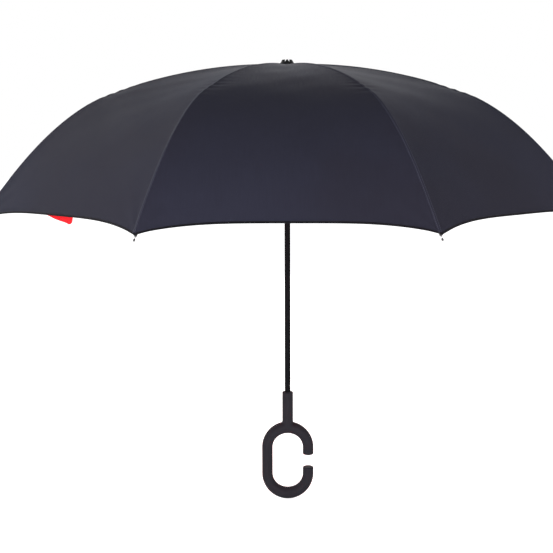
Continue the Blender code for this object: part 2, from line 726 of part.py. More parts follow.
def outer_rod_mesh():
    """From the split at the origin to the tip: fork with its pin, ferrule, bent rod and tip."""
    slope = rod_slope(SPLIT_SHARE)
    line = rod_path(SPLIT_SHARE, 1, OUTER_ROD_STEPS, slope)
    start = OUTER_FORK_LENGTH - OUTER_FORK_HALF_HEIGHT
    rod = tube(in_plane([(start, 0), *line[1:]]), OUTER_ROD_RADIUS, ROD_BEVEL_STEPS)
    fork = fork_mesh(
        OUTER_FORK_HALF_HEIGHT, OUTER_FORK_LENGTH, OUTER_FORK_WIDTH, OUTER_FORK_SLOT_WIDTH,
        OUTER_FORK_SLOT_LENGTH, 0,
    )
    pin = cylinder(OUTER_PIN_RADIUS, OUTER_FORK_WIDTH, "Y", (0, 0, 0), PIN_SIDES)
    ferrule = cylinder(OUTER_FERRULE_RADIUS, FERRULE_LENGTH, "X", (start + FERRULE_LENGTH / 2, 0, 0), FERRULE_SIDES)
    heading = slope - ROD_TIP_SLOPE
    along = Vector((cos(heading), 0, sin(heading)))
    end = Vector((line[-1][0], 0, line[-1][1]))
    tip_line = [end - along * (TIP_LENGTH - TIP_REACH), end, end + along * TIP_REACH]
    nose = TIP_NOSE_RADIUS / TIP_RADIUS
    tip = tube(tip_line, TIP_RADIUS, ROD_BEVEL_STEPS, [1.0, 1.0, nose])
    return pattern("outer_rod", rod, joins=[fork, pin, ferrule, tip])


def make_ribs():
    arm = arm_mesh()
    rib = rib_mesh()
    rod = rod_mesh()
    outer_rod = outer_rod_mesh()
    steel = material("arm_steel", (0.03, 0.03, 0.033), 0.4, 0.7)
    rib_steel = material("rib_steel", (0.03, 0.03, 0.033), 0.4, 0.7)
    resin = material("rod_resin", (0.02, 0.02, 0.022), 0.35)
    outer_resin = material("rodend_resin", (0.02, 0.02, 0.022), 0.35)
    for number in range(RIB_COUNT):
        label = number + 1
        angle = rib_angle(number)
        crown_pivot = on_rib(number, PIVOT_CIRCLE_RADIUS, CROWN_PIVOT_Z)
        joint = on_rib(number, JOINT_RADIUS, JOINT_Z)
        split = on_rib(number, SPLIT_RADIUS, SPLIT_Z)
        place(f"arm_{label}", arm, steel, crown_pivot, (0, ARM_SLOPE, angle))
        place(f"rib_{label}", rib, rib_steel, joint, (0, pi - ARM_SLOPE, angle))
        place(f"rod_{label}", rod, resin, joint, (0, ROD_ROOT_SLOPE, angle))
        place(f"rodend_{label}", outer_rod, outer_resin, split, (0, rod_slope(SPLIT_SHARE), angle))


# Fabric


def rod_zone(lift, steps, first=0):
    """The fabric's line (radius, z) above or below the rod, from the joint to the tip."""
    line = rod_path(0, 1, steps)
    zone = []
    for i in range(first, steps + 1):
        slope = rod_slope(i / steps)
        zone.append((JOINT_RADIUS + line[i][0] + lift * sin(slope), JOINT_Z + line[i][1] + lift * cos(slope)))
    return zone


def outer_line():
    """The outer layer's underside along a rib: clamped at the crown, then a low dome, then the rods."""
    joint = rod_zone(OUTER_LIFT, ROD_ZONE_STEPS)[0]
    line = [(CLAMP_RADIUS, FABRIC_TOP_Z)]
    for i in range(CROWN_ZONE_STEPS):
        share = i / CROWN_ZONE_STEPS
        radius = CROWN_RADIUS + (joint[0] - CROWN_RADIUS) * share
        chord = FABRIC_TOP_Z + (joint[1] - FABRIC_TOP_Z) * share
        line.append((radius, chord + 4 * OUTER_BOW * share * (1 - share)))
    return line + rod_zone(OUTER_LIFT, ROD_ZONE_STEPS)


def inner_line():
    """The inner layer's underside along a rib: an open ring round the runner, the ribs, then the rods."""
    drop = -INNER_DROP - FABRIC_THICKNESS
    joint = rod_zone(drop, ROD_ZONE_STEPS)[0]
    rise = tan(ARM_SLOPE)
    line = []
    for i in range(CROWN_ZONE_STEPS - 1):
        share = i / (CROWN_ZONE_STEPS - 1)
        radius = INNER_OPENING_RADIUS + (joint[0] - INNER_OPENING_RADIUS) * share
        line.append((radius, JOINT_Z - (JOINT_RADIUS - radius) * rise + drop))
    return line + rod_zone(drop, ROD_ZONE_STEPS)


def walk(line, distance):
    """The point at a distance along a line of (radius, z) points."""
    for start, end in zip(line, line[1:]):
        length = hypot(end[0] - start[0], end[1] - start[1])
        if distance <= length or end == line[-1]:
            share = distance / length
            return (start[0] + (end[0] - start[0]) * share, start[1] + (end[1] - start[1]) * share)
        distance -= length


def distances(line):
    along = [0.0]
    for start, end in zip(line, line[1:]):
        along.append(along[-1] + hypot(end[0] - start[0], end[1] - start[1]))
    return along


def gore_mesh(line):
    """A gore about +X between two ribs, its hem arched, as a sheet that Solidify thickens outwards."""
    along = distances(line)
    full = along[-1]
    rows = len(line) - 1
    work = bmesh.new()
    bmesh.ops.create_grid(work, x_segments=rows, y_segments=GORE_STEPS_ACROSS, size=0.5)
    for vertex in work.verts:
        row = round((vertex.co.x + 0.5) * rows)
        across = round((vertex.co.y + 0.5) * GORE_STEPS_ACROSS) / GORE_STEPS_ACROSS * 2 - 1
        arch = HEM_ARCH * (1 - abs(across) ** HEM_POWER)
        radius, z = walk(line, along[row] * (1 - arch / full))
        half = radius * sin(RIB_STEP / 2) - SEAM_GAP
        vertex.co = (radius * cos(RIB_STEP / 2), half * across, z)
    bmesh.ops.recalc_face_normals(work, faces=work.faces)
    if sum(face.normal.z for face in work.faces) < 0:
        bmesh.ops.reverse_faces(work, faces=work.faces)
    mesh = bpy.data.meshes.new("gore")
    work.to_mesh(mesh)
    work.free()
    item = guide("gore", mesh)
    wall = item.modifiers.new("wall", "SOLIDIFY")
    wall.thickness = FABRIC_THICKNESS
    wall.offset = 1.0
    return take_mesh(item)


def make_fabric():
    outer = gore_mesh(outer_line())
    inner = gore_mesh(inner_line())
    navy = material("outer_fabric", (0.022, 0.022, 0.032), 0.7)
    red = material("inner_fabric", (0.75, 0.02, 0.025), 0.7)
    for number in range(RIB_COUNT):
        middle = rib_angle(number) + RIB_STEP / 2
        place(f"outer_panel_{number + 1}", outer, navy, rotation=(0, 0, middle))
        place(f"inner_panel_{number + 1}", inner, red, rotation=(0, 0, middle))


def make_tie_strap():
    """A band along the inner hem: its lower edge leaves the layer and droops to the free end."""
    line = inner_line()
    slope = ROD_TIP_SLOPE
    flat = cos(RIB_STEP / 2)
    edge_radius = flat * walk(line, distances(line)[-1] - HEM_ARCH - STRAP_HEM_INSET)[0]
    work = bmesh.new()
    bmesh.ops.create_grid(work, x_segments=STRAP_STEPS, y_segments=2, size=0.5)
    for vertex in work.verts:
        share = vertex.co.x + 0.5
        across = vertex.co.y + 0.5
        end_curve = STRAP_ROUNDING * (2 * across - 1) ** 2 * share ** STRAP_ROUNDING_POWER
        along = STRAP_END_ALONG - STRAP_LENGTH * (1 - share) - end_curve
        up = STRAP_WIDTH * across
        radius = edge_radius - up * cos(slope)
        layer_z = layer_height(line, radius / flat) - STRAP_CLEARANCE - STRAP_THICKNESS / cos(slope)
        vertex.co = (radius, along, layer_z - STRAP_DROOP * share ** STRAP_DROOP_POWER)
    bmesh.ops.recalc_face_normals(work, faces=work.faces)
    if sum(face.normal.z for face in work.faces) < 0:
        bmesh.ops.reverse_faces(work, faces=work.faces)
    mesh = bpy.data.meshes.new("tie_strap")
    work.to_mesh(mesh)
    work.free()
    item = guide("tie_strap", mesh)
    wall = item.modifiers.new("wall", "SOLIDIFY")
    wall.thickness = STRAP_THICKNESS
    wall.offset = 1.0
    red = material("strap_webbing", (0.78, 0.02, 0.025), 0.7)
    place("tie_strap", take_mesh(item), red, rotation=(0, 0, STRAP_PANEL_ANGLE))


def layer_height(line, radius):
    for start, end in zip(line, line[1:]):
        if radius <= end[0] or end == line[-1]:
            return start[1] + (end[1] - start[1]) * (radius - start[0]) / (end[0] - start[0])


make_handle()
make_shaft()
make_catch("upper_catch", UPPER_CATCH_Z, 1)
make_catch("lower_catch", LOWER_CATCH_Z, -1)
make_crown()
make_crown_cap()
make_runner()
make_ribs()
make_fabric()
make_tie_strap()

print(f"arm and rib length {ARM_LENGTH:.4f} m, slope {degrees(ARM_SLOPE):.2f} degrees")
print(f"runner pivot {RUNNER_PIVOT_Z:.4f} m open, {CLOSED_PIVOT_Z:.4f} m closed, travel {RUNNER_TRAVEL:.4f} m")
print(f"joint at {JOINT_RADIUS:.4f}, {JOINT_Z:.4f}; split at {SPLIT_RADIUS:.5f}, {SPLIT_Z:.5f}")
print(f"arm turns {degrees(OPEN_ANGLE - CLOSED_ANGLE):.3f} degrees")
print(f"outer hem corner {rod_zone(OUTER_LIFT, ROD_ZONE_STEPS)[-1]}")
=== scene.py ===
import bpy
import numpy as np
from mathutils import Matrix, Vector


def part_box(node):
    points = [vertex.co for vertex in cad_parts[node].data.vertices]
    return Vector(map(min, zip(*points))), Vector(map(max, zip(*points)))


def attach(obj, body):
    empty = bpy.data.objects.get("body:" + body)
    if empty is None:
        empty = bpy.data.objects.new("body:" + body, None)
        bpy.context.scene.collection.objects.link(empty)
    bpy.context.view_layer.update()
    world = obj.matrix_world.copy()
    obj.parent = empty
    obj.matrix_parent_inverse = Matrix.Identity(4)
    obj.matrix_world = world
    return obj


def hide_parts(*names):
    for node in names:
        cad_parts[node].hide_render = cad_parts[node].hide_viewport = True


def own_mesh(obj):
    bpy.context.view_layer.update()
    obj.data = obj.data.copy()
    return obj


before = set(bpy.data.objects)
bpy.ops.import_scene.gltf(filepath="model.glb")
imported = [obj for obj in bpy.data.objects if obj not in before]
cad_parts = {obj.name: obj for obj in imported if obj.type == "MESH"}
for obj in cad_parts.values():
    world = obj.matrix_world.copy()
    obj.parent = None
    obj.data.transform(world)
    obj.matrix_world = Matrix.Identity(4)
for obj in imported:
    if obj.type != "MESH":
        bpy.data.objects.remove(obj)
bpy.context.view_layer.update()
print("frame: loaded", len(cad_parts), "nodes")

# Places along one rib, in metres, as the frame has them
fold = {
    "ribs": 8,
    "crownPivotHeight": 0.618667,
    "crownFlangeRise": 0.005,
    "crownRadius": 0.0145,
    "pivotRadius": 0.011,
    "jointRadius": 0.2825,
    "jointHeight": 0.577667,
    "armBow": 0.0105,
    "rodLength": 0.337,
    "rodRootSlope": np.radians(14.0),
    "rodTipSlope": np.radians(53.0),
    "splitShare": 0.25,
}
halfGore = np.pi / fold["ribs"]
ribNumbers = range(1, fold["ribs"] + 1)


def ribAzimuth(rib):
    return halfGore * (2 * rib - 1)


def toWorld(points, rib):
    # Turns points of a rib's own plane (outwards, sideways, up) about the shaft to that rib.
    cosine, sine = np.cos(ribAzimuth(rib)), np.sin(ribAzimuth(rib))
    out, side, up = points[..., 0], points[..., 1], points[..., 2]
    return np.stack([out * cosine - side * sine, out * sine + side * cosine, up], -1)


# Meshes from whole arrays


def unit(vectors):
    return vectors / np.maximum(np.linalg.norm(vectors, axis=-1, keepdims=True), 1e-12)


def bell(distance, width):
    return np.exp(-((distance / width) ** 2))


def runAlong(points):
    # Distance run from the first of a row of points to each.
    return np.concatenate([[0], np.cumsum(np.linalg.norm(np.diff(points, axis=0), axis=1))])


def mapOf(across, along):
    # A map in metres from its two directions.
    return np.stack(np.broadcast_arrays(across, along), -1)


def gridNormals(points):
    # Normals of a grid that has one spare row and column all round, by central differences.
    return unit(np.cross(points[2:, 1:-1] - points[:-2, 1:-1], points[1:-1, 2:] - points[1:-1, :-2]))


def sheetShell(grid, thickness, maps, seamColumn=0, lift=0.0):
    # A closed sheet from a grid and maps that have one spare row and column all round: the grid, the same grid
    # moved down its normals by the thickness, and a rim between them. The first map serves the columns before
    # the seam column, and the second those after it.
    normal = gridNormals(grid)
    top = grid[1:-1, 1:-1] + normal * lift
    rows, columns = top.shape[:2]
    count = rows * columns
    points = np.concatenate([top.reshape(-1, 3), (top - normal * thickness).reshape(-1, 3)])
    index = np.arange(count).reshape(rows, columns)
    upper = np.stack([index[:-1, :-1], index[1:, :-1], index[1:, 1:], index[:-1, 1:]], -1).reshape(-1, 4)
    border = np.concatenate([index[:-1, 0], index[-1, :-1], index[:0:-1, -1], index[0, :0:-1]])
    ahead = np.roll(border, -1)
    rim = np.stack([ahead, border, border + count, ahead + count], -1)
    edges = points[rim]
    rimNormal = unit(np.cross(edges[:, 1] - edges[:, 0], edges[:, 2] - edges[:, 1]))
    smooth = normal.reshape(-1, 3)
    before, after = (part[1:-1, 1:-1].reshape(-1, 2) for part in maps)

    def mapped(faces, column):
        return np.where((column < seamColumn)[:, None, None], before[faces], after[faces])

    upperMap = mapped(upper, upper[:, 0] % columns)
    rimMap = mapped(rim % count, rim.min(1) % columns)
    normals = [smooth[upper], -smooth[upper[:, ::-1]], np.repeat(rimNormal[:, None], 4, 1)]
    return {
        "points": points, "faces": np.concatenate([upper, upper[:, ::-1] + count, rim]),
        "normals": np.concatenate(normals),
        "uv": np.concatenate([upperMap, upperMap[:, ::-1], rimMap]), "caps": [], "finish": 0,
    }


def sweptShell(rings, uv=None, finish=0):
    # A closed tube: rings of points one after another along a path, joined side to side and capped at its ends.
    # Where its volume comes out negative, every face is turned round.
    steps, around = rings.shape[:2]
    index = np.arange(steps * around).reshape(steps, around)
    ahead = np.roll(index, -1, 1)
    faces = np.stack([index[:-1], index[1:], ahead[1:], ahead[:-1]], -1).reshape(-1, 4)
    points = rings.reshape(-1, 3)
    a, b, c, d = ((points - points.mean(0))[faces[:, corner]] for corner in range(4))
    caps = [index[0], index[-1, ::-1]]
    if (a * np.cross(b - d, c)).sum() < 0:
        faces, caps = faces[:, ::-1], [cap[::-1] for cap in caps]
    uv = np.zeros((len(points), 2)) if uv is None else uv.reshape(-1, 2)
    return {
        "points": points, "faces": faces, "normals": np.zeros((len(faces), 4, 3)), "uv": uv[faces],
        "caps": caps, "finish": finish,
    }


def tubeRings(path, radii, around, squash=1.0):
    # Circles of the given radii, square to a path in the XZ plane, and squashed along Y.
    forward = unit(np.gradient(path, axis=0))
    first = unit(np.cross(forward, [0.0, 1.0, 0.0]))
    second = np.cross(forward, first) * squash
    turns = 2 * np.pi * np.arange(around)[None, :, None] / around
    circles = first[:, None] * np.cos(turns) + second[:, None] * np.sin(turns)
    return path[:, None] + circles * radii[:, None, None]


def addObject(name, data):
    item = bpy.data.objects.new(name, data)
    bpy.context.scene.collection.objects.link(item)
    return item


def makePiece(name, shells, finishes, sharp=50.0):
    # Puts shells into one mesh, smooth but for edges sharper than an angle. A sheet brings its own normals.
    # finishes are keys of the materials, and a shell's "finish" is its number among them.
    points, faces, uv, normals, finish, start = [], [], [], [], [], 0
    for shell in shells:
        points.append(shell["points"])
        faces += (shell["faces"] + start).tolist() + [(cap + start).tolist() for cap in shell["caps"]]
        loose = sum(len(cap) for cap in shell["caps"])
        uv += [shell["uv"].reshape(-1, 2), np.zeros((loose, 2))]
        normals += [shell["normals"].reshape(-1, 3), np.zeros((loose, 3))]
        finish += [shell["finish"]] * (len(shell["faces"]) + len(shell["caps"]))
        start += len(shell["points"])
    mesh = bpy.data.meshes.new(name)
    mesh.from_pydata(np.concatenate(points), [], faces)
    mesh.uv_layers.new(name="cut").data.foreach_set("uv", np.concatenate(uv).astype(np.float32).ravel())
    mesh.polygons.foreach_set("material_index", finish)
    mesh.shade_smooth()
    mesh.set_sharp_from_angle(angle=np.radians(sharp))
    normals = np.concatenate(normals)
    if np.abs(normals).max() > 0:
        mesh.normals_split_custom_set(normals.tolist())
    for key in finishes:
        mesh.materials.append(materials[key])
    return addObject(name, mesh)


# Shader groups and materials

# Where each noise starts and stops counting
noiseRanges = {
    "tint": (0.4, 0.62), "slubs": (0.3, 0.7), "blotchColor": (0.35, 0.7), "blotchGloss": (0.3, 0.7),
    "scratches": (0.62, 0.72),
}

# How the weave's slubs and the handling marks are drawn out, and their sizes
slubs = {"stretch": (700.0, 22.0, 1.0), "height": 0.6}
marks = {"scratchStretch": (9.0, 9.0, 1.0), "scratchSize": 2.0, "speckSize": 28.0}


def setInput(tree, socket, value):
    # Links another node's output, or sets a number, a vector or a colour.
    if isinstance(value, bpy.types.NodeSocket):
        tree.links.new(value, socket)
    else:
        socket.default_value = (*value, 1.0) if socket.type == "RGBA" else value


def fill(tree, node, values):
    for socketName, value in values.items():
        setInput(tree, node.inputs[socketName], value)
    return node


def addNode(tree, kind, values):
    return fill(tree, tree.nodes.new("ShaderNode" + kind), values)


def mathNode(tree, operation, *values):
    node = tree.nodes.new("ShaderNodeMath")
    node.operation = operation
    for socket, value in zip(node.inputs, values):
        setInput(tree, socket, value)
    return node.outputs[0]


def noiseNode(tree, place, scale, detail=2.0, roughness=0.5):
    values = {"Vector": place, "Scale": scale, "Detail": detail, "Roughness": roughness}
    return addNode(tree, "TexNoise", values).outputs["Fac"]


def stretched(tree, place, scale):
    return addNode(tree, "Mapping", {"Vector": place, "Scale": scale}).outputs["Vector"]


def mixColor(tree, amount, first, second):
    node = tree.nodes.new("ShaderNodeMix")
    node.data_type = "RGBA"
    for number, value in ((0, amount), (6, first), (7, second)):
        setInput(tree, node.inputs[number], value)
    return node.outputs[2]


def rangeNode(tree, value, key, newLow, newHigh):
    low, high = noiseRanges[key]
    values = {"Value": value, "From Min": low, "From Max": high, "To Min": newLow, "To Max": newHigh}
    return addNode(tree, "MapRange", values).outputs[0]


def bumpNode(tree, height, distance):
    return addNode(tree, "Bump", {"Height": height, "Distance": distance}).outputs["Normal"]


def makeGroup(name, inputs, outputs):
    # A node group: an input without a value is a vector, and all the others and every output are numbers.
    group = bpy.data.node_groups.new(name, "ShaderNodeTree")
    for socketName, value in inputs.items():
        kind = "NodeSocketVector" if value is None else "NodeSocketFloat"
        socket = group.interface.new_socket(socketName, in_out="INPUT", socket_type=kind)
        if value is not None:
            socket.default_value = value
    for socketName in outputs:
        group.interface.new_socket(socketName, in_out="OUTPUT", socket_type="NodeSocketFloat")
    return group, group.nodes.new("NodeGroupInput").outputs, group.nodes.new("NodeGroupOutput")


def weaveGroup():
    # Plain weave on a map in metres: warp and weft threads as half sine ridges, taking turns to lie on top,
    # and slubs as noise drawn out along the warp.
    tree, into, out = makeGroup("plainWeave", {"Cut": None, "Pitch": 0.0004}, ("Threads", "Slubs", "Height"))
    split = addNode(tree, "SeparateXYZ", {"Vector": into["Cut"]})
    waves = []
    for axis in range(2):
        turns = mathNode(tree, "DIVIDE", split.outputs[axis], into["Pitch"])
        waves.append(mathNode(tree, "SINE", mathNode(tree, "MULTIPLY", turns, float(np.pi))))
    warp, weft = (mathNode(tree, "ABSOLUTE", wave) for wave in waves)
    warpOnTop = mathNode(tree, "GREATER_THAN", mathNode(tree, "MULTIPLY", *waves), 0.0)
    weftOnTop = mathNode(tree, "SUBTRACT", 1.0, warpOnTop)
    weft = mathNode(tree, "MULTIPLY", weft, weftOnTop)
    threads = mathNode(tree, "MULTIPLY_ADD", warp, warpOnTop, weft)
    drawn = noiseNode(tree, stretched(tree, into["Cut"], slubs["stretch"]), 1.0, detail=3.0, roughness=0.6)
    height = mathNode(tree, "MULTIPLY_ADD", drawn, slubs["height"], threads)
    fill(tree, out, {"Threads": threads, "Slubs": drawn, "Height": height})
    return tree


def stitchGroup():
    # A row of stitches on a band's map in metres: a line at a distance across the band, broken into dashes.
    inputs = {"Band": None, "Across": 0.001, "Half Width": 0.00022, "Stitch": 0.0028, "Gap Share": 0.22}
    tree, into, out = makeGroup("stitchRow", inputs, ("Mask",))
    across, along = addNode(tree, "SeparateXYZ", {"Vector": into["Band"]}).outputs[:2]
    away = mathNode(tree, "ABSOLUTE", mathNode(tree, "SUBTRACT", across, into["Across"]))
    onLine = mathNode(tree, "LESS_THAN", away, into["Half Width"])
    place = mathNode(tree, "FRACT", mathNode(tree, "DIVIDE", along, into["Stitch"]))
    dash = mathNode(tree, "GREATER_THAN", place, into["Gap Share"])
    fill(tree, out, {"Mask": mathNode(tree, "MULTIPLY", onLine, dash)})
    return tree


def wearGroup():
    # Handling marks: large soft blotches, fine specks and short scratches from noise of three sizes.
    tree, into, out = makeGroup(
        "handlingMarks", {"Place": None, "Size": 60.0}, ("Blotches", "Specks", "Scratches"))
    place, size = into["Place"], into["Size"]
    scratchSize = mathNode(tree, "MULTIPLY", size, marks["scratchSize"])
    speckSize = mathNode(tree, "MULTIPLY", size, marks["speckSize"])
    drawn = stretched(tree, place, marks["scratchStretch"])
    drawn = noiseNode(tree, drawn, scratchSize, detail=4.0, roughness=0.7)
    fill(tree, out, {
        "Blotches": noiseNode(tree, place, size, detail=3.0, roughness=0.55),
        "Specks": noiseNode(tree, place, speckSize, roughness=0.6),
        "Scratches": rangeNode(tree, drawn, "scratches", 0.0, 1.0),
    })
    return tree


groups = {"weave": weaveGroup(), "stitch": stitchGroup(), "wear": wearGroup()}


def placeGroup(tree, key, values):
    node = tree.nodes.new("ShaderNodeGroup")
    node.node_tree = groups[key]
    return fill(tree, node, values).outputs


def startMaterial(name):
    material = bpy.data.materials.new(name)
    material.use_nodes = True
    tree = material.node_tree
    place = tree.nodes.new("ShaderNodeTexCoord").outputs["Object"]
    return material, tree, tree.nodes["Principled BSDF"], place


def clothMaterial(name, dyed, shaded, finish):
    # Woven cloth: two shades of one dye mixed by slubs, threads and soft mottling, a tint in patches,
    # rows of stitches where it has them, and the weave as relief.
    material, tree, shader, place = startMaterial(name)
    cutMap = tree.nodes.new("ShaderNodeUVMap")
    cutMap.uv_map = "cut"
    cut = cutMap.outputs["UV"]
    weave = placeGroup(tree, "weave", {"Cut": cut, "Pitch": finish["pitch"]})
    mottle = noiseNode(tree, place, finish["mottleScale"], detail=4.0, roughness=0.6)
    shade = 0.0
    for pattern, weight in ((weave["Slubs"], "slubs"), (mottle, "mottle"), (weave["Threads"], "threads")):
        shade = mathNode(tree, "MULTIPLY_ADD", pattern, finish[weight], shade)
    color = mixColor(tree, shade, shaded, dyed)
    tint = rangeNode(tree, noiseNode(tree, place, finish["tintScale"]), "tint", 0.0, finish["tint"])
    color = mixColor(tree, tint, color, finish["tintColor"])
    relief = weave["Height"]
    if "stitches" in finish:
        threads = 0.0
        for across in finish["stitches"]:
            row = placeGroup(tree, "stitch", {"Band": cut, "Across": across})["Mask"]
            threads = mathNode(tree, "MAXIMUM", row, threads)
        color = mixColor(tree, threads, color, finish["threadColor"])
        relief = mathNode(tree, "MULTIPLY_ADD", threads, finish["threadRelief"], relief)
    fill(tree, shader, {
        "Base Color": color, "Roughness": rangeNode(tree, weave["Slubs"], "slubs", *finish["roughness"]),
        "Specular IOR Level": finish["specular"], "Sheen Weight": finish["sheen"],
        "Sheen Roughness": finish["sheenRoughness"], "Sheen Tint": finish["sheenTint"],
        "Normal": bumpNode(tree, relief, finish["relief"]),
    })
    return material


plainHard = {"blotches": 0.7, "metallic": 0.0, "specular": 0.5, "coat": 0.0, "coatRoughness": 0.25}


def hardMaterial(name, clean, worn, **values):
    # Moulded or painted surface: blotches shift its shade and its roughness, scratches show through in another
    # colour, and specks are its relief.
    finish = {**plainHard, **values}
    material, tree, shader, place = startMaterial(name)
    wear = placeGroup(tree, "wear", {"Place": place, "Size": finish["size"]})
    blotches = rangeNode(tree, wear["Blotches"], "blotchColor", 0.0, finish["blotches"])
    color = mixColor(tree, blotches, clean, worn)
    scratches = mathNode(tree, "MULTIPLY", wear["Scratches"], finish["scratches"])
    fill(tree, shader, {
        "Base Color": mixColor(tree, scratches, color, finish["scratchColor"]),
        "Roughness": rangeNode(tree, wear["Blotches"], "blotchGloss", *finish["roughness"]),
        "Metallic": finish["metallic"], "Specular IOR Level": finish["specular"],
        "Coat Weight": finish["coat"], "Coat Roughness": finish["coatRoughness"],
        "Normal": bumpNode(tree, wear["Specks"], finish["relief"]),
    })
    return material


outerFinish = {
    "pitch": 0.0004, "mottleScale": 9.0, "mottle": 0.35, "slubs": 0.6, "threads": 0.25,
    "tintScale": 5.0, "tint": 0.25, "tintColor": (0.013, 0.010, 0.013), "roughness": (0.61, 0.71),
    "specular": 0.05, "sheen": 0.018, "sheenRoughness": 0.3, "sheenTint": (0.65, 0.72, 1.0), "relief": 0.00003,
}
seamFinish = {
    **outerFinish, "stitches": (0.0012, 0.0038), "threadColor": (0.05, 0.05, 0.07), "threadRelief": 3.0,
}
# The hem band's own finish: stitches, no sheen and little gloss. Its near-black colour, set with the materials,
# is painted shade.
hemFinish = {
    **outerFinish, "stitches": (0.0022,), "threadColor": (0.02, 0.02, 0.028), "threadRelief": 3.0,
    "sheen": 0.0, "specular": 0.04,
}
innerFinish = {
    "pitch": 0.0004, "mottleScale": 7.0, "mottle": 0.3, "slubs": 0.6, "threads": 0.3,
    "tintScale": 4.0, "tint": 0.2, "tintColor": (0.62, 0.012, 0.018), "roughness": (0.55, 0.65),
    "specular": 0.25, "sheen": 0.12, "sheenRoughness": 0.4, "sheenTint": (1.0, 0.6, 0.6), "relief": 0.00005,
}
innerSeamFinish = {
    **innerFinish, "stitches": (0.0012, 0.0046), "threadColor": (0.85, 0.05, 0.05), "threadRelief": 3.0,
}
strapFinish = {
    **innerFinish, "pitch": 0.0011, "relief": 0.00022, "threads": 0.55, "stitches": (0.002, 0.024),
    "threadColor": (0.5, 0.01, 0.014), "threadRelief": 0.8, "sheen": 0.03, "specular": 0.08,
}
materials = {
    "outer": clothMaterial("outerCloth", (0.0190, 0.0192, 0.0315), (0.0098, 0.0096, 0.0162), outerFinish),
    "outerSeam": clothMaterial("outerSeamCloth", (0.021, 0.0212, 0.0345), (0.0115, 0.0115, 0.019), seamFinish),
    # The outer hem band is near black: painted shade that stands in for the shadow along the canopy's edge.
    "hemPaintedShade": clothMaterial("hemClothPaintedShade", (0.004, 0.004, 0.005), (0.002, 0.002, 0.003), hemFinish),
    "inner": clothMaterial("innerCloth", (0.80, 0.020, 0.026), (0.58, 0.010, 0.014), innerFinish),
    "innerSeam": clothMaterial("innerSeamCloth", (0.80, 0.020, 0.026), (0.58, 0.010, 0.014), innerSeamFinish),
    "strap": clothMaterial("strapWebbing", (0.60, 0.011, 0.016), (0.48, 0.007, 0.011), strapFinish),
    "rubber": hardMaterial(
        "handleRubber", (0.0098, 0.0094, 0.0124), (0.014, 0.0134, 0.0172), size=55.0, scratches=0.25,
        scratchColor=(0.055, 0.052, 0.058), roughness=(0.6, 0.75), relief=0.00004, specular=0.06),
    "shaft": hardMaterial(
        "shaftPaint", (0.0028, 0.0028, 0.0036), (0.0045, 0.0044, 0.0054), size=40.0, blotches=0.6,
        scratches=0.3, scratchColor=(0.05, 0.05, 0.053), roughness=(0.42, 0.55), relief=0.00001,
        specular=0.015),
    "plastic": hardMaterial(
        "blackPlastic", (0.012, 0.012, 0.014), (0.02, 0.02, 0.023), size=90.0, scratches=0.2,
        scratchColor=(0.05, 0.05, 0.055), roughness=(0.38, 0.5), relief=0.00002, specular=0.4),
    "cap": hardMaterial(
        "capPlastic", (0.004, 0.004, 0.005), (0.008, 0.008, 0.010), size=90.0, scratches=0.2,
        scratchColor=(0.02, 0.02, 0.022), roughness=(0.4, 0.5), relief=0.00002, specular=0.12),
    "arms": hardMaterial(
        "armSteel", (0.030, 0.030, 0.034), (0.05, 0.05, 0.054), size=70.0, scratches=0.4,
        scratchColor=(0.22, 0.22, 0.225), roughness=(0.3, 0.42), relief=0.00001, metallic=0.7),
    "rods": hardMaterial(
        "rodResin", (0.012, 0.012, 0.013), (0.02, 0.02, 0.021), size=120.0, scratches=0.3,
        scratchColor=(0.06, 0.06, 0.06), roughness=(0.25, 0.36), relief=0.00001, coat=0.3),
    "bright": hardMaterial(
        "brightSteel", (0.62, 0.62, 0.63), (0.5, 0.5, 0.51), size=150.0, blotches=0.6, scratches=0.5,
        scratchColor=(0.75, 0.75, 0.76), roughness=(0.2, 0.32), relief=0.000005, metallic=1.0),
}
print("materials: made", len(materials))


# The cloth's shape

lineStep = 0.0005                    # length of one step of a layer's rib line
lineMargins = (0.02, 0.04)           # how far the line runs on before its start and past the tip
rodShares = np.linspace(0, 1, 500)   # places along a rod


def rodLine(lift):
    # The bent rod's slope grows with 2u - u*u from root to tip; its place is the running sum of that slope,
    # and the cloth lies at a lift square to it.
    slope = fold["rodRootSlope"] + (fold["rodTipSlope"] - fold["rodRootSlope"]) * (2 * rodShares - rodShares**2)
    step = fold["rodLength"] / (len(rodShares) - 1)
    middle = (slope[1:] + slope[:-1]) / 2
    outwards = fold["jointRadius"] + np.concatenate([[0], np.cumsum(np.cos(middle))]) * step
    upwards = fold["jointHeight"] - np.concatenate([[0], np.cumsum(np.sin(middle))]) * step
    return outwards + lift * np.sin(slope), upwards + lift * np.cos(slope)


def evened(level, length):
    # A running mean with a bell-shaped window; the ends run on straight.
    window = np.hanning(int(length / lineStep) | 1)
    pad = len(window) // 2
    before = level[0] + (level[0] - level[1]) * np.arange(pad, 0, -1)
    after = level[-1] + (level[-1] - level[-2]) * np.arange(1, pad + 1)
    return np.convolve(np.concatenate([before, level, after]), window / window.sum(), "valid")


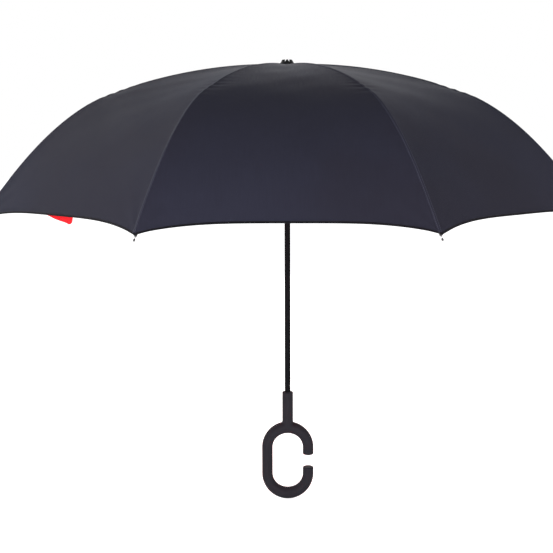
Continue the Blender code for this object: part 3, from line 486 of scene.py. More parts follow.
def clothLine(layer):
    # Height of a layer over each radius along a rib: the crown or rib stretch, then the rod stretch, evened out
    # over a short window so that the cloth bends over the joint and isn't creased by it.
    rodRadius, rodHeight = rodLine(layer["lift"])
    radius = np.arange(layer["startRadius"], rodRadius[0], lineStep)
    if layer["domed"]:
        top = fold["crownPivotHeight"] + fold["crownFlangeRise"] + layer["crownLift"]
        share = np.clip((radius - fold["crownRadius"]) / (rodRadius[0] - fold["crownRadius"]), 0, 1)
        height = top + (rodHeight[0] - top) * share + 4 * fold["armBow"] * share * (1 - share)
    else:
        rise = (fold["crownPivotHeight"] - fold["jointHeight"]) / (fold["jointRadius"] - fold["pivotRadius"])
        height = rodHeight[0] - (rodRadius[0] - radius) * rise
    radius = np.concatenate([radius, rodRadius])
    height = np.concatenate([height, rodHeight])
    even = np.arange(layer["startRadius"] - lineMargins[0], rodRadius[-1] + lineMargins[1], lineStep)
    startSlope = (height[3] - height[0]) / (radius[3] - radius[0])
    endSlope = (height[-1] - height[-4]) / (radius[-1] - radius[-4])
    level = np.interp(even, radius, height)
    level += np.minimum(even - radius[0], 0) * startSlope + np.maximum(even - radius[-1], 0) * endSlope
    onRib, free = evened(level, layer["evening"]), evened(level, layer["freeEvening"])
    along = runAlong(np.stack([even, onRib], -1))
    along -= np.interp(0.0 if layer["domed"] else layer["startRadius"], even, along)
    return {"radius": even, "height": onRib, "freeHeight": free, "along": along, "tipRadius": rodRadius[-1]}


bothLayers = {"thickness": 0.00035, "ridge": 0.0016, "pucker": 0.00028, "hemArch": 0.019, "hemPower": 3.5}
outerLayer = {
    **bothLayers, "name": "outer", "domed": True, "seed": 11, "lift": 0.0042, "crownLift": 0.0006,
    "startRadius": 0.006, "evening": 0.022, "freeEvening": 0.15, "sag": 0.0034, "wave": 0.0007,
    "dent": 0.0026, "crease": 0.0008, "hemInset": 0.0, "hemCorner": 0.0010, "openRadius": 0.0082,
    "openArch": 0.0, "jointPull": 0.007, "splitPull": 0.0215, "tuck": -0.0006, "gussets": (), "tongue": 2,
}
innerLayer = {
    **bothLayers, "name": "inner", "domed": False, "seed": 29, "lift": -0.0029, "startRadius": 0.08,
    "evening": 0.03, "freeEvening": 0.12, "sag": 0.0052, "wave": 0.0009, "dent": 0.0006, "crease": 0.0006,
    "hemInset": 0.0075, "hemCorner": 0.0, "openRadius": 0.0852, "openArch": 0.006,
    "jointPull": 0.010, "splitPull": 0.026, "tuck": 0.0006, "gussets": (1, 2), "tongue": None,
}
for layer in (outerLayer, innerLayer):
    layer["line"] = clothLine(layer)
    chance = np.random.default_rng(layer["seed"])
    layer["phases"] = chance.uniform(0, 2 * np.pi, (fold["ribs"], 8))
    layer["strengths"] = chance.uniform(0.6, 1.2, (fold["ribs"], 8))
splitRadius, splitHeight = (float(np.interp(fold["splitShare"], rodShares, part)) for part in rodLine(0.0))
drape = {
    "bodyPower": 0.8, "waves": ((5.0, 3.0), (9.0, -6.0), (15.0, 9.0)),   # turns a metre outwards and across
    "seamWidth": 0.0025, "puckerLength": 0.0175, "puckerFade": 0.011, "puckerStart": 0.03,
    "sway": 1.4, "swayLength": 0.083,
    "dentPlace": 0.024, "dentShift": 0.004, "dentRipple": 0.25, "rippleLength": 0.018, "dentLength": 0.028,
    "dentWidth": 0.020,
    "creaseTurns": 11, "creaseFade": 0.045, "creaseStart": 0.010, "creaseStretch": 1.5,
}


def clothPoints(layer, x, t, rib):
    # Height over a point x outwards and t sideways of a rib. The cloth is straight from rib to rib, so its
    # station on the rib line is x + |t| tan(half a gore). From that it sags to mid gore, and carries soft
    # waves, puckers along the seam, dents at the joint and creases that run out from the tip.
    line, ridge, side = layer["line"], layer["ridge"], np.abs(t)
    rounded = np.sqrt(side**2 + ridge**2) - ridge * bell(side, 3 * ridge)
    station = x + rounded * np.tan(halfGore)
    fromMiddle = x * np.sin(halfGore) - side * np.cos(halfGore)
    share = fromMiddle / np.maximum((x + side * np.tan(halfGore)) * np.sin(halfGore), 1e-6)
    free = 1 - np.clip(share, -1, 1) ** 2
    height = np.interp(station, line["radius"], line["height"]) * (1 - free)
    height = height + np.interp(station, line["radius"], line["freeHeight"]) * free
    body = np.sin(np.pi * np.clip(station / line["tipRadius"], 0, 1)) ** drape["bodyPower"]
    height = height - layer["sag"] * body * free
    gore = (rib - np.where(t >= 0, 1, 2)) % fold["ribs"]
    cross = np.where(t >= 0, -fromMiddle, fromMiddle)
    phases, strengths, ribPhase = layer["phases"][gore], layer["strengths"][gore], layer["phases"][rib - 1]
    for number, (outwardTurns, crossTurns) in enumerate(drape["waves"]):
        wave = np.sin(2 * np.pi * (outwardTurns * station + crossTurns * cross) + phases[..., number])
        height = height + layer["wave"] / (number + 1) * strengths[..., number] * wave * free * body
    seamward = side / np.cos(halfGore)
    atSeam = 1 - bell(seamward, drape["seamWidth"])
    sway = drape["sway"] * np.sin(2 * np.pi * station / drape["swayLength"] + phases[..., 3])
    pucker = np.sin(2 * np.pi * station / drape["puckerLength"] + sway + phases[..., 4])
    pucker = pucker * atSeam * np.exp(-seamward / drape["puckerFade"]) * (station > drape["puckerStart"])
    height = height + layer["pucker"] * pucker
    pulled = station - fold["jointRadius"] - drape["dentPlace"] - drape["dentShift"] * np.sin(ribPhase[5])
    ripple = np.cos(2 * np.pi * pulled / drape["rippleLength"] + ribPhase[6])
    dent = (1 + drape["dentRipple"] * (ripple - 1)) * bell(pulled, drape["dentLength"])
    height = height - layer["dent"] * dent * bell(seamward, drape["dentWidth"])
    inward = drape["creaseStretch"] * (line["tipRadius"] - station)
    far = np.hypot(inward, seamward)
    crease = np.sin(drape["creaseTurns"] * np.arctan2(seamward, np.maximum(inward, 1e-6)) + phases[..., 7])
    crease = crease * np.exp(-far / drape["creaseFade"]) * (1 - bell(far, drape["creaseStart"]))
    height = height + layer["crease"] * crease * atSeam
    return np.stack([x, t, height], -1), station, cross


def rayRatio(share):
    # Sideways over outwards for the ray that keeps one share of the half gore, 1 at the rib and 0 at mid gore.
    cosine, sine = np.cos(halfGore), np.sin(halfGore)
    return (1 - share) * sine * cosine / (cosine**2 + share * sine**2)


def onRays(station, share):
    # Outwards distance, on each ray, of the straight line from rib to rib that meets the rib at a station.
    return station * (np.cos(halfGore) ** 2 + share * np.sin(halfGore) ** 2)


def alongLine(layer, station):
    # Distance along the cloth, from the line's start, of a station on the rib line.
    return np.interp(station, layer["line"]["radius"], layer["line"]["along"])


def hemReach(layer, lift):
    # Station on the rib line of a place that lies a lift in from the tip, measured along the cloth.
    line = layer["line"]
    return np.interp(alongLine(layer, line["tipRadius"]) - lift, line["along"], line["radius"])


clothGrid = {
    "columnsPerSide": 26, "crowding": 1.35, "rowLength": 0.0044, "pullPower": 1.1, "cornerShare": 0.04,
    "cutRays": 60,
}


def columnShares():
    # Columns crowd towards the rib, where the cloth bends most; one spare column lies past each mid gore.
    count = clothGrid["columnsPerSide"]
    half = np.linspace(0, 1, count) ** clothGrid["crowding"]
    spare = 1 + (half[-1] - half[-2])
    shares = 1 - np.concatenate([[spare], half[::-1], half[1:], [spare]])
    return shares, np.concatenate([-np.ones(count), [0], np.ones(count)])


def zoneEdge(layer, zone, end, share):
    # Outwards distance of a zone's inner or outer border. At the joint and the split it leaves the rib at the
    # hinge and draws in towards mid gore, where the cloth comes nearest the hinge. The opening is a ring and
    # the hem an arch, highest at mid gore and drawn out at its corners.
    border = zone + end
    if border == 0:
        return onRays(layer["openRadius"] + layer["openArch"] * (1 - share**2), share)
    if border == 3:
        arch = layer["hemArch"] * (1 - np.clip(np.abs(share), 0, 1) ** layer["hemPower"])
        corner = layer["hemCorner"] * np.exp((np.abs(share) - 1) / clothGrid["cornerShare"])
        return onRays(hemReach(layer, layer["hemInset"] + arch - corner), share)
    away = np.clip(1 - share, 0, 2) ** clothGrid["pullPower"]
    hinge, pull = (fold["jointRadius"], "jointPull") if border == 1 else (splitRadius, "splitPull")
    return hinge - layer[pull] * away


def zoneGrid(layer, zone, rib):
    # Points, normals and maps of one zone: rows between its inner and outer border, columns along rays from the
    # shaft. On each side of the seam the map runs across from the rib.
    shares, sign = columnShares()
    inner, outer = (zoneEdge(layer, zone, end, shares) for end in (0, 1))
    middle = clothGrid["columnsPerSide"]
    rows = max(int(round(float(outer[middle] - inner[middle]) / clothGrid["rowLength"])), 2)
    x = inner + (outer - inner) * (np.arange(-1, rows + 2) / rows)[:, None]
    points, station, cross = clothPoints(layer, x, x * rayRatio(shares) * sign, rib)
    along = alongLine(layer, station)
    halfWidth = station * np.sin(halfGore)
    sides = np.where(sign > -0.5, halfWidth, cross), np.where(sign < 0.5, -halfWidth, cross)
    return points, gridNormals(points), [mapOf(part, along) for part in sides]


# Bands of cloth laid on it: felled seams and hems, and what fills the folds

seam = {
    # across the rib, and height over the cloth: a fold of cloth laid to one side and sewn down
    "outer": [(0.0008, -0.0001), (0.0005, 0.00030), (-0.0002, 0.00052), (-0.0012, 0.00046), (-0.0024, 0.00042),
              (-0.0036, 0.00046), (-0.0041, 0.00034), (-0.0044, -0.0001), (-0.0022, -0.0002)],
    "inner": [(0.0008, 0.0001), (0.0005, -0.00026), (-0.0002, -0.00044), (-0.0016, -0.00040),
              (-0.0034, -0.00038), (-0.0048, -0.00040), (-0.0054, -0.00030), (-0.0057, 0.0001),
              (-0.0028, 0.0002)],
    "mapStart": 0.0008, "start": 0.004, "stop": 0.003, "fullWidthFrom": 0.05, "leastWidth": 0.25,
    "probe": 0.0004,
}
hem = [
    # distance in from the edge, and height over the cloth's upper face: a fold turned over the edge
    (0.0032, 0.00002), (0.0030, 0.00028), (0.0018, 0.00036), (0.0008, 0.00042), (0.0001, 0.00030),
    (-0.0004, -0.00017), (0.0001, -0.00066), (0.0008, -0.00078), (0.0018, -0.00072), (0.0030, -0.00064),
    (0.0032, -0.00036),
]
gusset = {"turn": np.radians(31.0), "rows": 7}
tongue = {"atRib": 0.002, "more": 0.006, "rows": 5}


def seamShell(layer, zone, rib):
    # The seam's profile carried along the rib on the cloth's own surface, narrow near the crown.
    across, offset = np.array(seam[layer["name"]]).T
    inner, outer = (float(zoneEdge(layer, zone, end, np.ones(1))[0]) for end in (0, 1))
    inner += seam["start"] if zone == 0 else 0.0
    outer -= seam["stop"] if zone == 2 else 0.0
    rows = max(int(round((outer - inner) / clothGrid["rowLength"])), 2)
    x = np.linspace(inner, outer, rows + 1)[:, None]
    x, t = np.broadcast_arrays(x, across * np.clip(x / seam["fullWidthFrom"], seam["leastWidth"], 1.0))

    def surface(aheadBy, asideBy):
        return clothPoints(layer, x + aheadBy, t + asideBy, rib)[0]

    small = seam["probe"]
    normal = unit(np.cross(surface(small, 0) - surface(-small, 0), surface(0, small) - surface(0, -small)))
    if layer["name"] == "inner":
        offset = offset - layer["thickness"]
    rings = surface(0, 0) + normal * offset[:, None]
    return sweptShell(toWorld(rings, rib), mapOf(seam["mapStart"] - across, alongLine(layer, x)), 1)


def edgeShell(layer, points, normal, rib, atHem):
    # The hem's profile carried along the cloth's outer or inner edge, turned in along the rays.
    last, before, row = (-2, -3, -1) if atHem else (1, 2, 0)
    edge = points[last, 1:-1]
    inwards = unit(points[before, 1:-1] - edge)
    inset, rise = np.array(hem).T[:, :, None]
    rings = edge[:, None] + inwards[:, None] * inset + normal[row][:, None] * rise
    return sweptShell(toWorld(rings, rib), mapOf(inset[:, 0], runAlong(edge)[:, None]), 2)


def gussetShell(layer, points, normal, border, rib):
    # A hidden tongue of cloth past a border: the border turned about its hinge, to fill what opens there.
    hingeOut, hingeUp = ((fold["jointRadius"], fold["jointHeight"]), (splitRadius, splitHeight))[border - 1]
    tucked = points[-2] + np.pad(normal[-1], ((1, 1), (0, 0)), "edge") * layer["tuck"]
    turns = gusset["turn"] * (np.arange(-1, gusset["rows"] + 2) / gusset["rows"])[:, None]
    out, up = tucked[:, 0] - hingeOut, tucked[:, 2] - hingeUp
    x = hingeOut + out * np.cos(turns) - up * np.sin(turns)
    z = hingeUp + out * np.sin(turns) + up * np.cos(turns)
    grid = toWorld(np.stack([x, np.broadcast_to(tucked[:, 1], x.shape), z], -1), rib)
    uv = mapOf(tucked[:, 1], np.abs(turns) * np.hypot(out, up))
    return sheetShell(grid, layer["thickness"], (uv, uv))


def tongueShell(layer, zone, rib):
    # A tongue that runs back from a zone's inner border, close under the cloth before it, longest at mid gore.
    shares, sign = columnShares()
    length = tongue["atRib"] + tongue["more"] * np.clip(1 - shares, 0, 2)
    back = 1 - np.arange(-1, tongue["rows"] + 2) / tongue["rows"]
    x = zoneEdge(layer, zone, 0, shares) - length * back[:, None]
    points, station, cross = clothPoints(layer, x, x * rayRatio(shares) * sign, rib)
    uv = mapOf(cross, alongLine(layer, station))
    return sheetShell(toWorld(points, rib), layer["thickness"], (uv, uv), lift=layer["tuck"])


# The canopy: for each rib and layer three pieces, so that each follows its own bar as the umbrella folds

zones = {
    "outer": [
        {"name": "outerCrownCloth", "body": "arm", "keep": 0.20},
        {"name": "outerBendCloth", "body": "rod", "keep": 0.204},
        {"name": "outerTipCloth", "body": "rodend", "keep": 0.238},
    ],
    "inner": [
        {"name": "innerRibCloth", "body": "rib", "keep": 0.24},
        {"name": "innerBendCloth", "body": "rod", "keep": 0.262},
        {"name": "innerTipCloth", "body": "rodend", "keep": 0.271},
    ],
}


def foldAway(piece, setting, rib):
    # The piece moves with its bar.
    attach(piece, f"{setting['body']}_{rib}")
    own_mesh(piece)


def makeLayer(layer, finishes):
    panel = layer["name"] + "_panel"
    for rib in ribNumbers:
        for zone, setting in enumerate(zones[layer["name"]]):
            points, normal, maps = zoneGrid(layer, zone, rib)
            seamColumn = clothGrid["columnsPerSide"] - 1
            cloth = sheetShell(toWorld(points, rib), layer["thickness"], maps, seamColumn)
            shells = [cloth, seamShell(layer, zone, rib)]
            if zone + 1 in layer["gussets"]:
                shells.append(gussetShell(layer, points, normal, zone + 1, rib))
            if zone == layer["tongue"]:
                shells.append(tongueShell(layer, zone, rib))
            if zone == 2 or (zone == 0 and not layer["domed"]):
                shells.append(edgeShell(layer, points, normal, rib, zone == 2))
            piece = makePiece(f"{setting['name']}_{rib}", shells, finishes)
            foldAway(piece, setting, rib)
            before = fold["ribs"] if rib == 1 else rib - 1
            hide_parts(f"{panel}_{rib}", f"{panel}_{before}")
    print(panel, "cloth: made")


makeLayer(outerLayer, ("outer", "outerSeam", "hemPaintedShade"))
makeLayer(innerLayer, ("inner", "innerSeam", "innerSeam"))


# Tie strap: webbing sewn along the inner hem, its free end drooping

strap = {
    "panelTurn": np.radians(225.0), "rib": 5, "width": 0.026, "length": 0.165, "endAlong": 0.007,
    "hemInset": 0.0082, "sewnShare": 0.585, "clearance": 0.0014, "thickness": 0.001,
    "droop": 0.0120, "droopPower": 1.15, "hang": np.radians(84.0), "hangPower": 0.8,
    "ripple": 0.0006, "rippleTurns": 3.2, "rippleStart": 0.2, "cornerRadius": 0.008, "cornerPower": 8,
    "stepsAlong": 84, "stepsAcross": 25, "spareAlong": 0.01, "spareAcross": 0.05,
}


def strapPoints(share, across):
    # A band under the inner layer, across from its lower edge to its upper one. Where it is sewn it lies along
    # the cloth's slope; past that it turns towards hanging straight down from its upper edge and droops with a
    # power of the distance. The corners of its free end are quarter circles.
    line, width, corner = innerLayer["line"], strap["width"], strap["cornerRadius"]
    slope = fold["rodTipSlope"]
    edge = np.cos(halfGore) * hemReach(innerLayer, innerLayer["hemArch"] + strap["hemInset"])
    upper = edge - width * np.cos(slope)
    level = np.interp(upper / np.cos(halfGore), line["radius"], line["height"])
    free = np.clip((share - strap["sewnShare"]) / (1 - strap["sewnShare"]), 0, None)
    steep = slope + (strap["hang"] - slope) * np.minimum(free, 1) ** strap["hangPower"]
    below = width * (1 - across)
    radius = upper + below * np.cos(steep)
    ripple = np.sin(2 * np.pi * (share * strap["rippleTurns"] + strap["rippleStart"])) * (1 - across)
    height = level - below * np.sin(steep) - strap["clearance"] - strap["thickness"] + strap["ripple"] * ripple
    height = height - strap["droop"] * free ** strap["droopPower"]
    near = np.maximum(corner - width * (0.5 - np.abs(across - 0.5)), 0)
    setback = corner - np.sqrt(np.maximum(corner**2 - near**2, 0))
    setback = setback * np.clip(share, 0, 1) ** strap["cornerPower"]
    along = strap["endAlong"] - strap["length"] * (1 - share) - setback
    cosine, sine = np.cos(strap["panelTurn"]), np.sin(strap["panelTurn"])
    return np.stack([radius * cosine - along * sine, radius * sine + along * cosine, height], -1)


def makeStrap():
    share = np.linspace(0, 1, strap["stepsAlong"])
    across = np.linspace(0, 1, strap["stepsAcross"])
    share = np.concatenate([[-strap["spareAlong"]], share, [1 + strap["spareAlong"]]])
    across = np.concatenate([[-strap["spareAcross"]], across, [1 + strap["spareAcross"]]])
    points = strapPoints(*np.meshgrid(share, across, indexing="ij"))
    uv = mapOf(across * strap["width"], share[:, None] * strap["length"])
    piece = makePiece("tieStrap", [sheetShell(points, strap["thickness"], (uv, uv))], ("strap",), sharp=40.0)
    foldAway(piece, zones["inner"][2], strap["rib"])
    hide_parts("tie_strap")


makeStrap()
print("strap: made")


# Handle: a stem and a C as one rubber moulding

handle = {
    "stemRadius": 0.0100, "stemTop": 0.0272, "stemRounding": 0.0014, "stemRoot": 0.006,
    "gripTop": -0.0301, "gripHeight": 0.1486, "tubeRadius": 0.0099, "bendRadius": 0.0382, "crestRadius": 0.011,
    "mouthTop": -0.0926, "mouthHeight": 0.0245, "mouthRounding": 0.0017, "fillet": 0.0022,
    "partingWidth": 0.0005, "partingRise": 0.00012,
    "voxel": 0.0013, "roughSides": 24, "roughBend": 25, "probe": 0.00005, "rounds": 12, "leastSlope": 0.2,
}
handle["topCentre"] = handle["gripTop"] - handle["crestRadius"] - handle["bendRadius"]
handle["bottomCentre"] = handle["gripTop"] - handle["gripHeight"] + handle["crestRadius"] + handle["bendRadius"]


def roundedBoth(first, second, rounding):
    # Distance to what two shapes share, its corner rounded.
    a, b = first + rounding, second + rounding
    return np.minimum(np.maximum(a, b), 0) + np.hypot(np.maximum(a, 0), np.maximum(b, 0)) - rounding


def handleDistance(points):
    # Distance to the moulding: a tube about a stadium line, thicker at its crest and foot, cut square at the
    # mouth, joined by a fillet to a stem with a rounded top, with a fine parting line round its middle.
    x, y, z = points.T
    beyond = z - np.clip(z, handle["bottomCentre"], handle["topCentre"])
    reach = np.hypot(x, beyond)
    crest = (beyond / np.maximum(reach, 1e-9)) ** 2
    radius = handle["tubeRadius"] + (handle["crestRadius"] - handle["tubeRadius"]) * crest
    ring = np.hypot(reach - handle["bendRadius"], y) - radius
    half = handle["mouthHeight"] / 2
    mouth = np.where(x > 0, half - np.abs(z - (handle["mouthTop"] - half)), -1.0)
    grip = roundedBoth(ring, mouth, handle["mouthRounding"])
    low = handle["gripTop"] - handle["tubeRadius"]
    middle, half = (handle["stemTop"] + low) / 2, (handle["stemTop"] - low) / 2
    stem = roundedBoth(np.hypot(x, y) - handle["stemRadius"], np.abs(z - middle) - half, handle["stemRounding"])
    blend = handle["fillet"]
    joined = np.maximum(blend, np.minimum(grip, stem))
    joined = joined - np.hypot(np.maximum(blend - grip, 0), np.maximum(blend - stem, 0))
    return joined - handle["partingRise"] * bell(y, handle["partingWidth"])


def distanceSlope(points):
    small = handle["probe"]
    moves = np.eye(3) * small
    slope = [handleDistance(points + move) - handleDistance(points - move) for move in moves]
    return np.stack(slope, -1) / (2 * small)


def makeHandle():
    # A rough tube and stem are made one skin of even cells, which is then moved onto the true surface.
    bend, sides = handle["bendRadius"], handle["roughSides"]
    turns = np.linspace(0, np.pi, handle["roughBend"])
    upper = np.stack([bend * np.cos(turns), handle["topCentre"] + bend * np.sin(turns)], -1)
    lower = np.stack([-bend * np.cos(turns), handle["bottomCentre"] - bend * np.sin(turns)], -1)
    mouthBottom = handle["mouthTop"] - handle["mouthHeight"]
    path = np.concatenate([[[bend, handle["mouthTop"]]], upper, lower, [[bend, mouthBottom]]])
    path = np.insert(path, 1, 0.0, axis=1)
    stemPath = np.array([[0, 0, handle["gripTop"] - handle["stemRoot"]], [0, 0, handle["stemTop"]]])
    grip = sweptShell(tubeRings(path, np.full(len(path), handle["tubeRadius"]), sides))
    stem = sweptShell(tubeRings(stemPath, np.full(2, handle["stemRadius"]), sides))
    rough = makePiece("roughHandle", [grip, stem], ())
    remesh = rough.modifiers.new("even", "REMESH")
    remesh.mode = "VOXEL"
    remesh.voxel_size = handle["voxel"]
    graph = bpy.context.evaluated_depsgraph_get()
    mesh = bpy.data.meshes.new_from_object(rough.evaluated_get(graph))
    bpy.data.objects.remove(rough)
    points = np.zeros(len(mesh.vertices) * 3)
    mesh.vertices.foreach_get("co", points)
    points = points.reshape(-1, 3)
    for _ in range(handle["rounds"]):
        slope = distanceSlope(points)
        length = np.maximum((slope**2).sum(1, keepdims=True), handle["leastSlope"])
        points = points - slope * (handleDistance(points)[:, None] / length)
    mesh.vertices.foreach_set("co", points.ravel())
    mesh.update()
    mesh.shade_smooth()
    mesh.name = "gripHandle"
    mesh.materials.clear()
    mesh.materials.append(materials["rubber"])
    piece = addObject("gripHandle", mesh)
    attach(piece, "handle_and_shaft")
    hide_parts("handle")


makeHandle()
print("handle: made")


# Crown cap: a hollow cone with eight V notches in its rim, on a stud that clamps the cloth

crownCap = {
    "teeth": 8, "baseRadius": 0.0128, "topRadius": 0.0086, "height": 0.0079, "skirt": 0.0012, "wall": 0.0024,
    "floor": 0.0024, "notchDepth": 0.0048, "notchHalfTurn": np.radians(14.0), "firstTooth": np.radians(-90.0),
    "studRadius": 0.0041, "studLength": 0.014, "poleRadius": 0.0003, "rimRounding": 0.0003, "around": 192,
    "coneShares": (0.25, 0.5, 0.75, 1.0), "mapRadius": 0.01,
}


def makeCrownCap():
    # Rings about the shaft: a notch lowers the rim by a triangle wave of the turn, and the cone's radius goes
    # with it.
    size, rounding = crownCap, crownCap["rimRounding"]
    base = float(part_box("crown_cap")[1][2]) - size["height"]
    turn = 2 * np.pi * np.arange(size["around"]) / size["around"] + size["firstTooth"]
    pitch = 2 * np.pi / size["teeth"]
    fromNotch = np.abs((turn - size["firstTooth"]) % pitch - pitch / 2)
    rim = size["height"] - size["notchDepth"] * np.clip(1 - fromNotch / size["notchHalfTurn"], 0, 1)

    def coneRadius(height):
        share = (height - size["skirt"]) / (size["height"] - size["skirt"])
        return size["baseRadius"] + (size["topRadius"] - size["baseRadius"]) * np.clip(share, 0, 1)

    rows = [
        # radius and height of each ring, from the stud's foot up the outside
        (size["poleRadius"], -size["studLength"]), (size["studRadius"], -size["studLength"]),
        (size["studRadius"], 0.0), (size["baseRadius"] - rounding, 0.0),
        (size["baseRadius"], rounding), (size["baseRadius"], size["skirt"]),
    ]
    for share in size["coneShares"]:
        height = size["skirt"] + (rim - rounding - size["skirt"]) * share
        rows.append((coneRadius(height), height))
    inside = size["topRadius"] - size["wall"]
    rows += [
        # over the rim and down the inside to the floor
        (coneRadius(rim) - rounding, rim), (coneRadius(rim) - size["wall"] + rounding, rim),
        (coneRadius(rim) - size["wall"], rim - rounding), (inside, size["floor"] + rounding),
        (inside - rounding, size["floor"]), (size["poleRadius"], size["floor"]),
    ]
    radius, height = (np.stack([value + 0 * turn for value in part]) for part in zip(*rows))
    rings = np.stack([radius * np.cos(turn), radius * np.sin(turn), base + height], -1)
    run = runAlong(np.stack([radius[:, 0], height[:, 0]], -1))
    uv = mapOf(size["mapRadius"] * turn, run[:, None])
    piece = makePiece("crownCap", [sweptShell(rings, uv)], ("cap",), sharp=35.0)
    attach(piece, "handle_and_shaft")
    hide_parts("crown_cap")


makeCrownCap()
print("crown cap: made")


# Rod ends: the outer lengths of the rods with their forks, ferrules and tips

rodEnd = {
    "rodStart": 0.006, "rodRadius": 0.0013, "rodRings": 40,
    "forkLength": 0.009, "forkHalfHeight": 0.0019, "forkGap": 0.0018, "forkWidth": 0.0034, "forkSides": 12,
    "forkRings": 12, "forkNose": 0.05,
    "ferruleStart": 0.0071, "ferruleLength": 0.007, "ferruleRadius": 0.0017,
    "ferruleShape": (0.9, 1.0, 1.06, 1.0, 1.0, 1.0, 1.06, 1.0, 0.9),
    "capStart": -0.011, "capEnd": 0.0005, "capRadius": 0.0021,
    "capShape": (0.8, 1.0, 1.0, 1.0, 0.86, 0.86, 0.86, 1.0, 1.0, 1.0, 1.0, 0.8),
    "neckSunk": 0.001, "neckRadius": 0.0009, "neckRings": 6,
    "ballStart": 0.0038, "ballEnd": 0.0082, "ballRadius": 0.0016, "ballRings": 17, "ballPole": 0.04,
    "sides": 16, "mapWidth": 0.008,
}


def makeRodEnd(rib):
    # Tubes along the rod's own line from the split, then straight on from its tip: rod, ferrule, tip cap, neck
    # and ball; and two flat cheeks of the fork beside the split.
    size, length = rodEnd, fold["rodLength"]
    out, up = rodLine(0.0)
    tip = np.array([out[-1], 0.0, up[-1]])
    heading = np.array([np.cos(fold["rodTipSlope"]), 0.0, -np.sin(fold["rodTipSlope"])])

    def bent(start, stop, rings):
        share = fold["splitShare"] + np.linspace(start, stop, rings) / length
        places = [np.interp(share, rodShares, out), np.zeros(rings), np.interp(share, rodShares, up)]
        return np.stack(places, -1)

    def straight(start, stop, rings):
        return tip + heading * np.linspace(start, stop, rings)[:, None]

    ball = size["ballRadius"]
    ballRun = np.linspace(0, size["ballEnd"] - size["ballStart"], size["ballRings"])
    inBall = np.maximum(ball - np.minimum(ballRun, ballRun[-1] - ballRun), 0)
    ferruleStop = size["ferruleStart"] + size["ferruleLength"]
    tubes = [
        # path, radii and number of the material
        (bent(size["rodStart"], (1 - fold["splitShare"]) * length, size["rodRings"]), size["rodRadius"], 0),
        (bent(size["ferruleStart"], ferruleStop, len(size["ferruleShape"])),
         size["ferruleRadius"] * np.array(size["ferruleShape"]), 1),
        (straight(size["capStart"], size["capEnd"], len(size["capShape"])),
         size["capRadius"] * np.array(size["capShape"]), 0),
        (straight(-size["neckSunk"], size["ballStart"] + size["neckSunk"], size["neckRings"]),
         size["neckRadius"], 2),
        (straight(size["ballStart"], size["ballEnd"], size["ballRings"]),
         np.sqrt(np.maximum(ball**2 - inBall**2, (size["ballPole"] * ball) ** 2)), 0),
    ]
    shells = []
    for path, radii, finish in tubes:
        rings = tubeRings(path, radii + np.zeros(len(path)), size["sides"])
        uv = mapOf(np.linspace(0, size["mapWidth"], size["sides"]), runAlong(path)[:, None])
        shells.append(sweptShell(toWorld(rings, rib), uv, finish))
    half = size["forkHalfHeight"]
    forkRun = np.linspace(0, size["forkLength"], size["forkRings"])
    heights = half * np.sqrt(np.maximum(1 - (np.maximum(half - forkRun, 0) / half) ** 2, size["forkNose"]))
    for side in (-1, 1):
        cheek = bent(0.0, size["forkLength"], size["forkRings"])
        cheek[:, 1] += side * (size["forkGap"] + size["forkWidth"]) / 4
        rings = tubeRings(cheek, heights, size["forkSides"], (size["forkWidth"] - size["forkGap"]) / 4 / half)
        shells.append(sweptShell(toWorld(rings, rib), finish=1))
    piece = makePiece(f"rodEnd_{rib}", shells, ("rods", "arms", "bright"), sharp=40.0)
    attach(piece, f"rodend_{rib}")
    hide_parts(f"rodend_{rib}")


for rib in ribNumbers:
    makeRodEnd(rib)
print("rod ends: made")


# Finishes of the parts that stay as the frame has them

nodeFinish = {
    "shaft": "shaft", "crown": "plastic", "crown_wire": "bright", "runner": "plastic",
    "upper_catch": "bright", "lower_catch": "bright", "arm": "arms", "rib": "arms", "rod": "rods",
}
for name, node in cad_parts.items():
    key = name if name in nodeFinish else name.rsplit("_", 1)[0]
    if key in nodeFinish:
        node.data.materials.clear()
        node.data.materials.append(materials[nodeFinish[key]])
print("nodes: finished")


# Floor, backdrop, lamps and camera

studio = {
    "floorHeight": -0.1788, "floorSize": 30.0, "paper": 0.8, "grain": 0.03, "grainScale": 900.0,
    "paperRoughness": 0.9, "paperSpecular": 0.1, "glow": 0.78, "daylight": 0.60,
    "lamps": [
        # name, place, aim, size, power, colour
        ("lowLamp", (-0.25, -1.35, -0.15), (0.0, -0.42, 0.45), 0.55, 41.0, (1.0, 1.0, 1.0)),
        ("leftLamp", (-2.6, -1.0, 0.9), (0.0, 0.0, 0.4), 1.6, 46.0, (0.97, 0.98, 1.0)),
        ("rightLamp", (1.7, -1.5, -0.12), (0.3, -0.2, 0.45), 0.7, 60.0, (1.0, 0.99, 0.98)),
        ("backLamp", (0.5, 2.8, 1.2), (0.0, 0.0, 0.5), 2.0, 24.0, (1.0, 1.0, 1.0)),
        ("backLeftLamp", (-2.0, 2.2, 1.2), (0.0, 0.0, 0.5), 1.6, 46.0, (1.0, 1.0, 1.0)),
    ],
}
view = {
    "place": (-0.0034, -1.87, 0.4985), "tiltDown": np.radians(7.776), "turnLeft": 0.0085, "roll": 0.0030,
    "lens": 67.09, "sensorWidth": 36.0, "near": 0.05, "far": 60.0,
}


def seenRays(tree):
    # 1 for the camera and for what shows in gloss or through glass, 0 for the light on the object.
    path = tree.nodes.new("ShaderNodeLightPath").outputs
    seen = mathNode(tree, "ADD", path["Is Camera Ray"], path["Is Glossy Ray"])
    return mathNode(tree, "MINIMUM", mathNode(tree, "ADD", seen, path["Is Transmission Ray"]), 1.0)


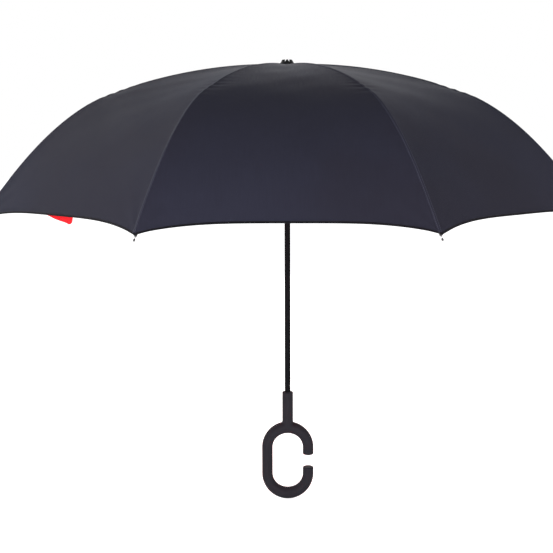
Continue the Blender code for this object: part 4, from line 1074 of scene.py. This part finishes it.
def paperMaterial():
    # White paper that keeps the shadow, brought up to white where the camera or a reflection sees it,
    # and clear from below, so that the umbrella can be looked up into.
    material, tree, shader, place = startMaterial("whitePaper")
    paper, lighter = studio["paper"], studio["paper"] + studio["grain"]
    color = mixColor(tree, noiseNode(tree, place, studio["grainScale"]), (paper,) * 3, (lighter,) * 3)
    fill(tree, shader, {
        "Base Color": color, "Roughness": studio["paperRoughness"],
        "Specular IOR Level": studio["paperSpecular"],
    })
    strength = mathNode(tree, "MULTIPLY", seenRays(tree), studio["glow"])
    glow = addNode(tree, "Emission", {"Strength": strength}).outputs[0]
    added, sides = tree.nodes.new("ShaderNodeAddShader"), tree.nodes.new("ShaderNodeMixShader")
    below = tree.nodes.new("ShaderNodeNewGeometry").outputs["Backfacing"]
    clear = tree.nodes.new("ShaderNodeBsdfTransparent").outputs[0]
    for node, sources in ((added, (shader.outputs[0], glow)), (sides, (below, added.outputs[0], clear))):
        for number, source in enumerate(sources):
            tree.links.new(source, node.inputs[number])
    tree.links.new(sides.outputs[0], tree.nodes["Material Output"].inputs["Surface"])
    return material


def makeStudio():
    half = studio["floorSize"] / 2
    mesh = bpy.data.meshes.new("paperFloor")
    corners = [(-half, -half), (half, -half), (half, half), (-half, half)]
    mesh.from_pydata([(x, y, studio["floorHeight"]) for x, y in corners], [], [(0, 1, 2, 3)])
    mesh.materials.append(paperMaterial())
    addObject("paperFloor", mesh)
    for name, place, aim, size, power, color in studio["lamps"]:
        lamp = bpy.data.lights.new(name, "AREA")
        lamp.size, lamp.energy, lamp.color = size, power, color
        item = addObject(name, lamp)
        item.location = place
        x, y, z = np.array(place) - np.array(aim)
        item.rotation_euler = (float(np.arctan2(np.hypot(x, y), z)), 0.0, float(np.arctan2(x, -y)))
        item.visible_camera = False
    world = bpy.data.worlds.new("studioWorld")
    world.use_nodes = True
    bpy.context.scene.world = world
    tree = world.node_tree
    lift = mathNode(tree, "MULTIPLY_ADD", seenRays(tree), 1.0 - studio["daylight"], studio["daylight"])
    fill(tree, tree.nodes["Background"], {"Strength": lift, "Color": (1.0, 1.0, 1.0)})


def makeCamera():
    camera = bpy.data.cameras.new("photoCamera")
    camera.lens, camera.sensor_width = view["lens"], view["sensorWidth"]
    camera.clip_start, camera.clip_end = view["near"], view["far"]
    item = addObject("photoCamera", camera)
    item.location = view["place"]
    item.rotation_euler = (float(np.pi / 2 - view["tiltDown"]), view["roll"], view["turnLeft"])
    bpy.context.scene.camera = item


makeStudio()
makeCamera()
bpy.context.scene.view_settings.view_transform = "Standard"
print("studio: made")
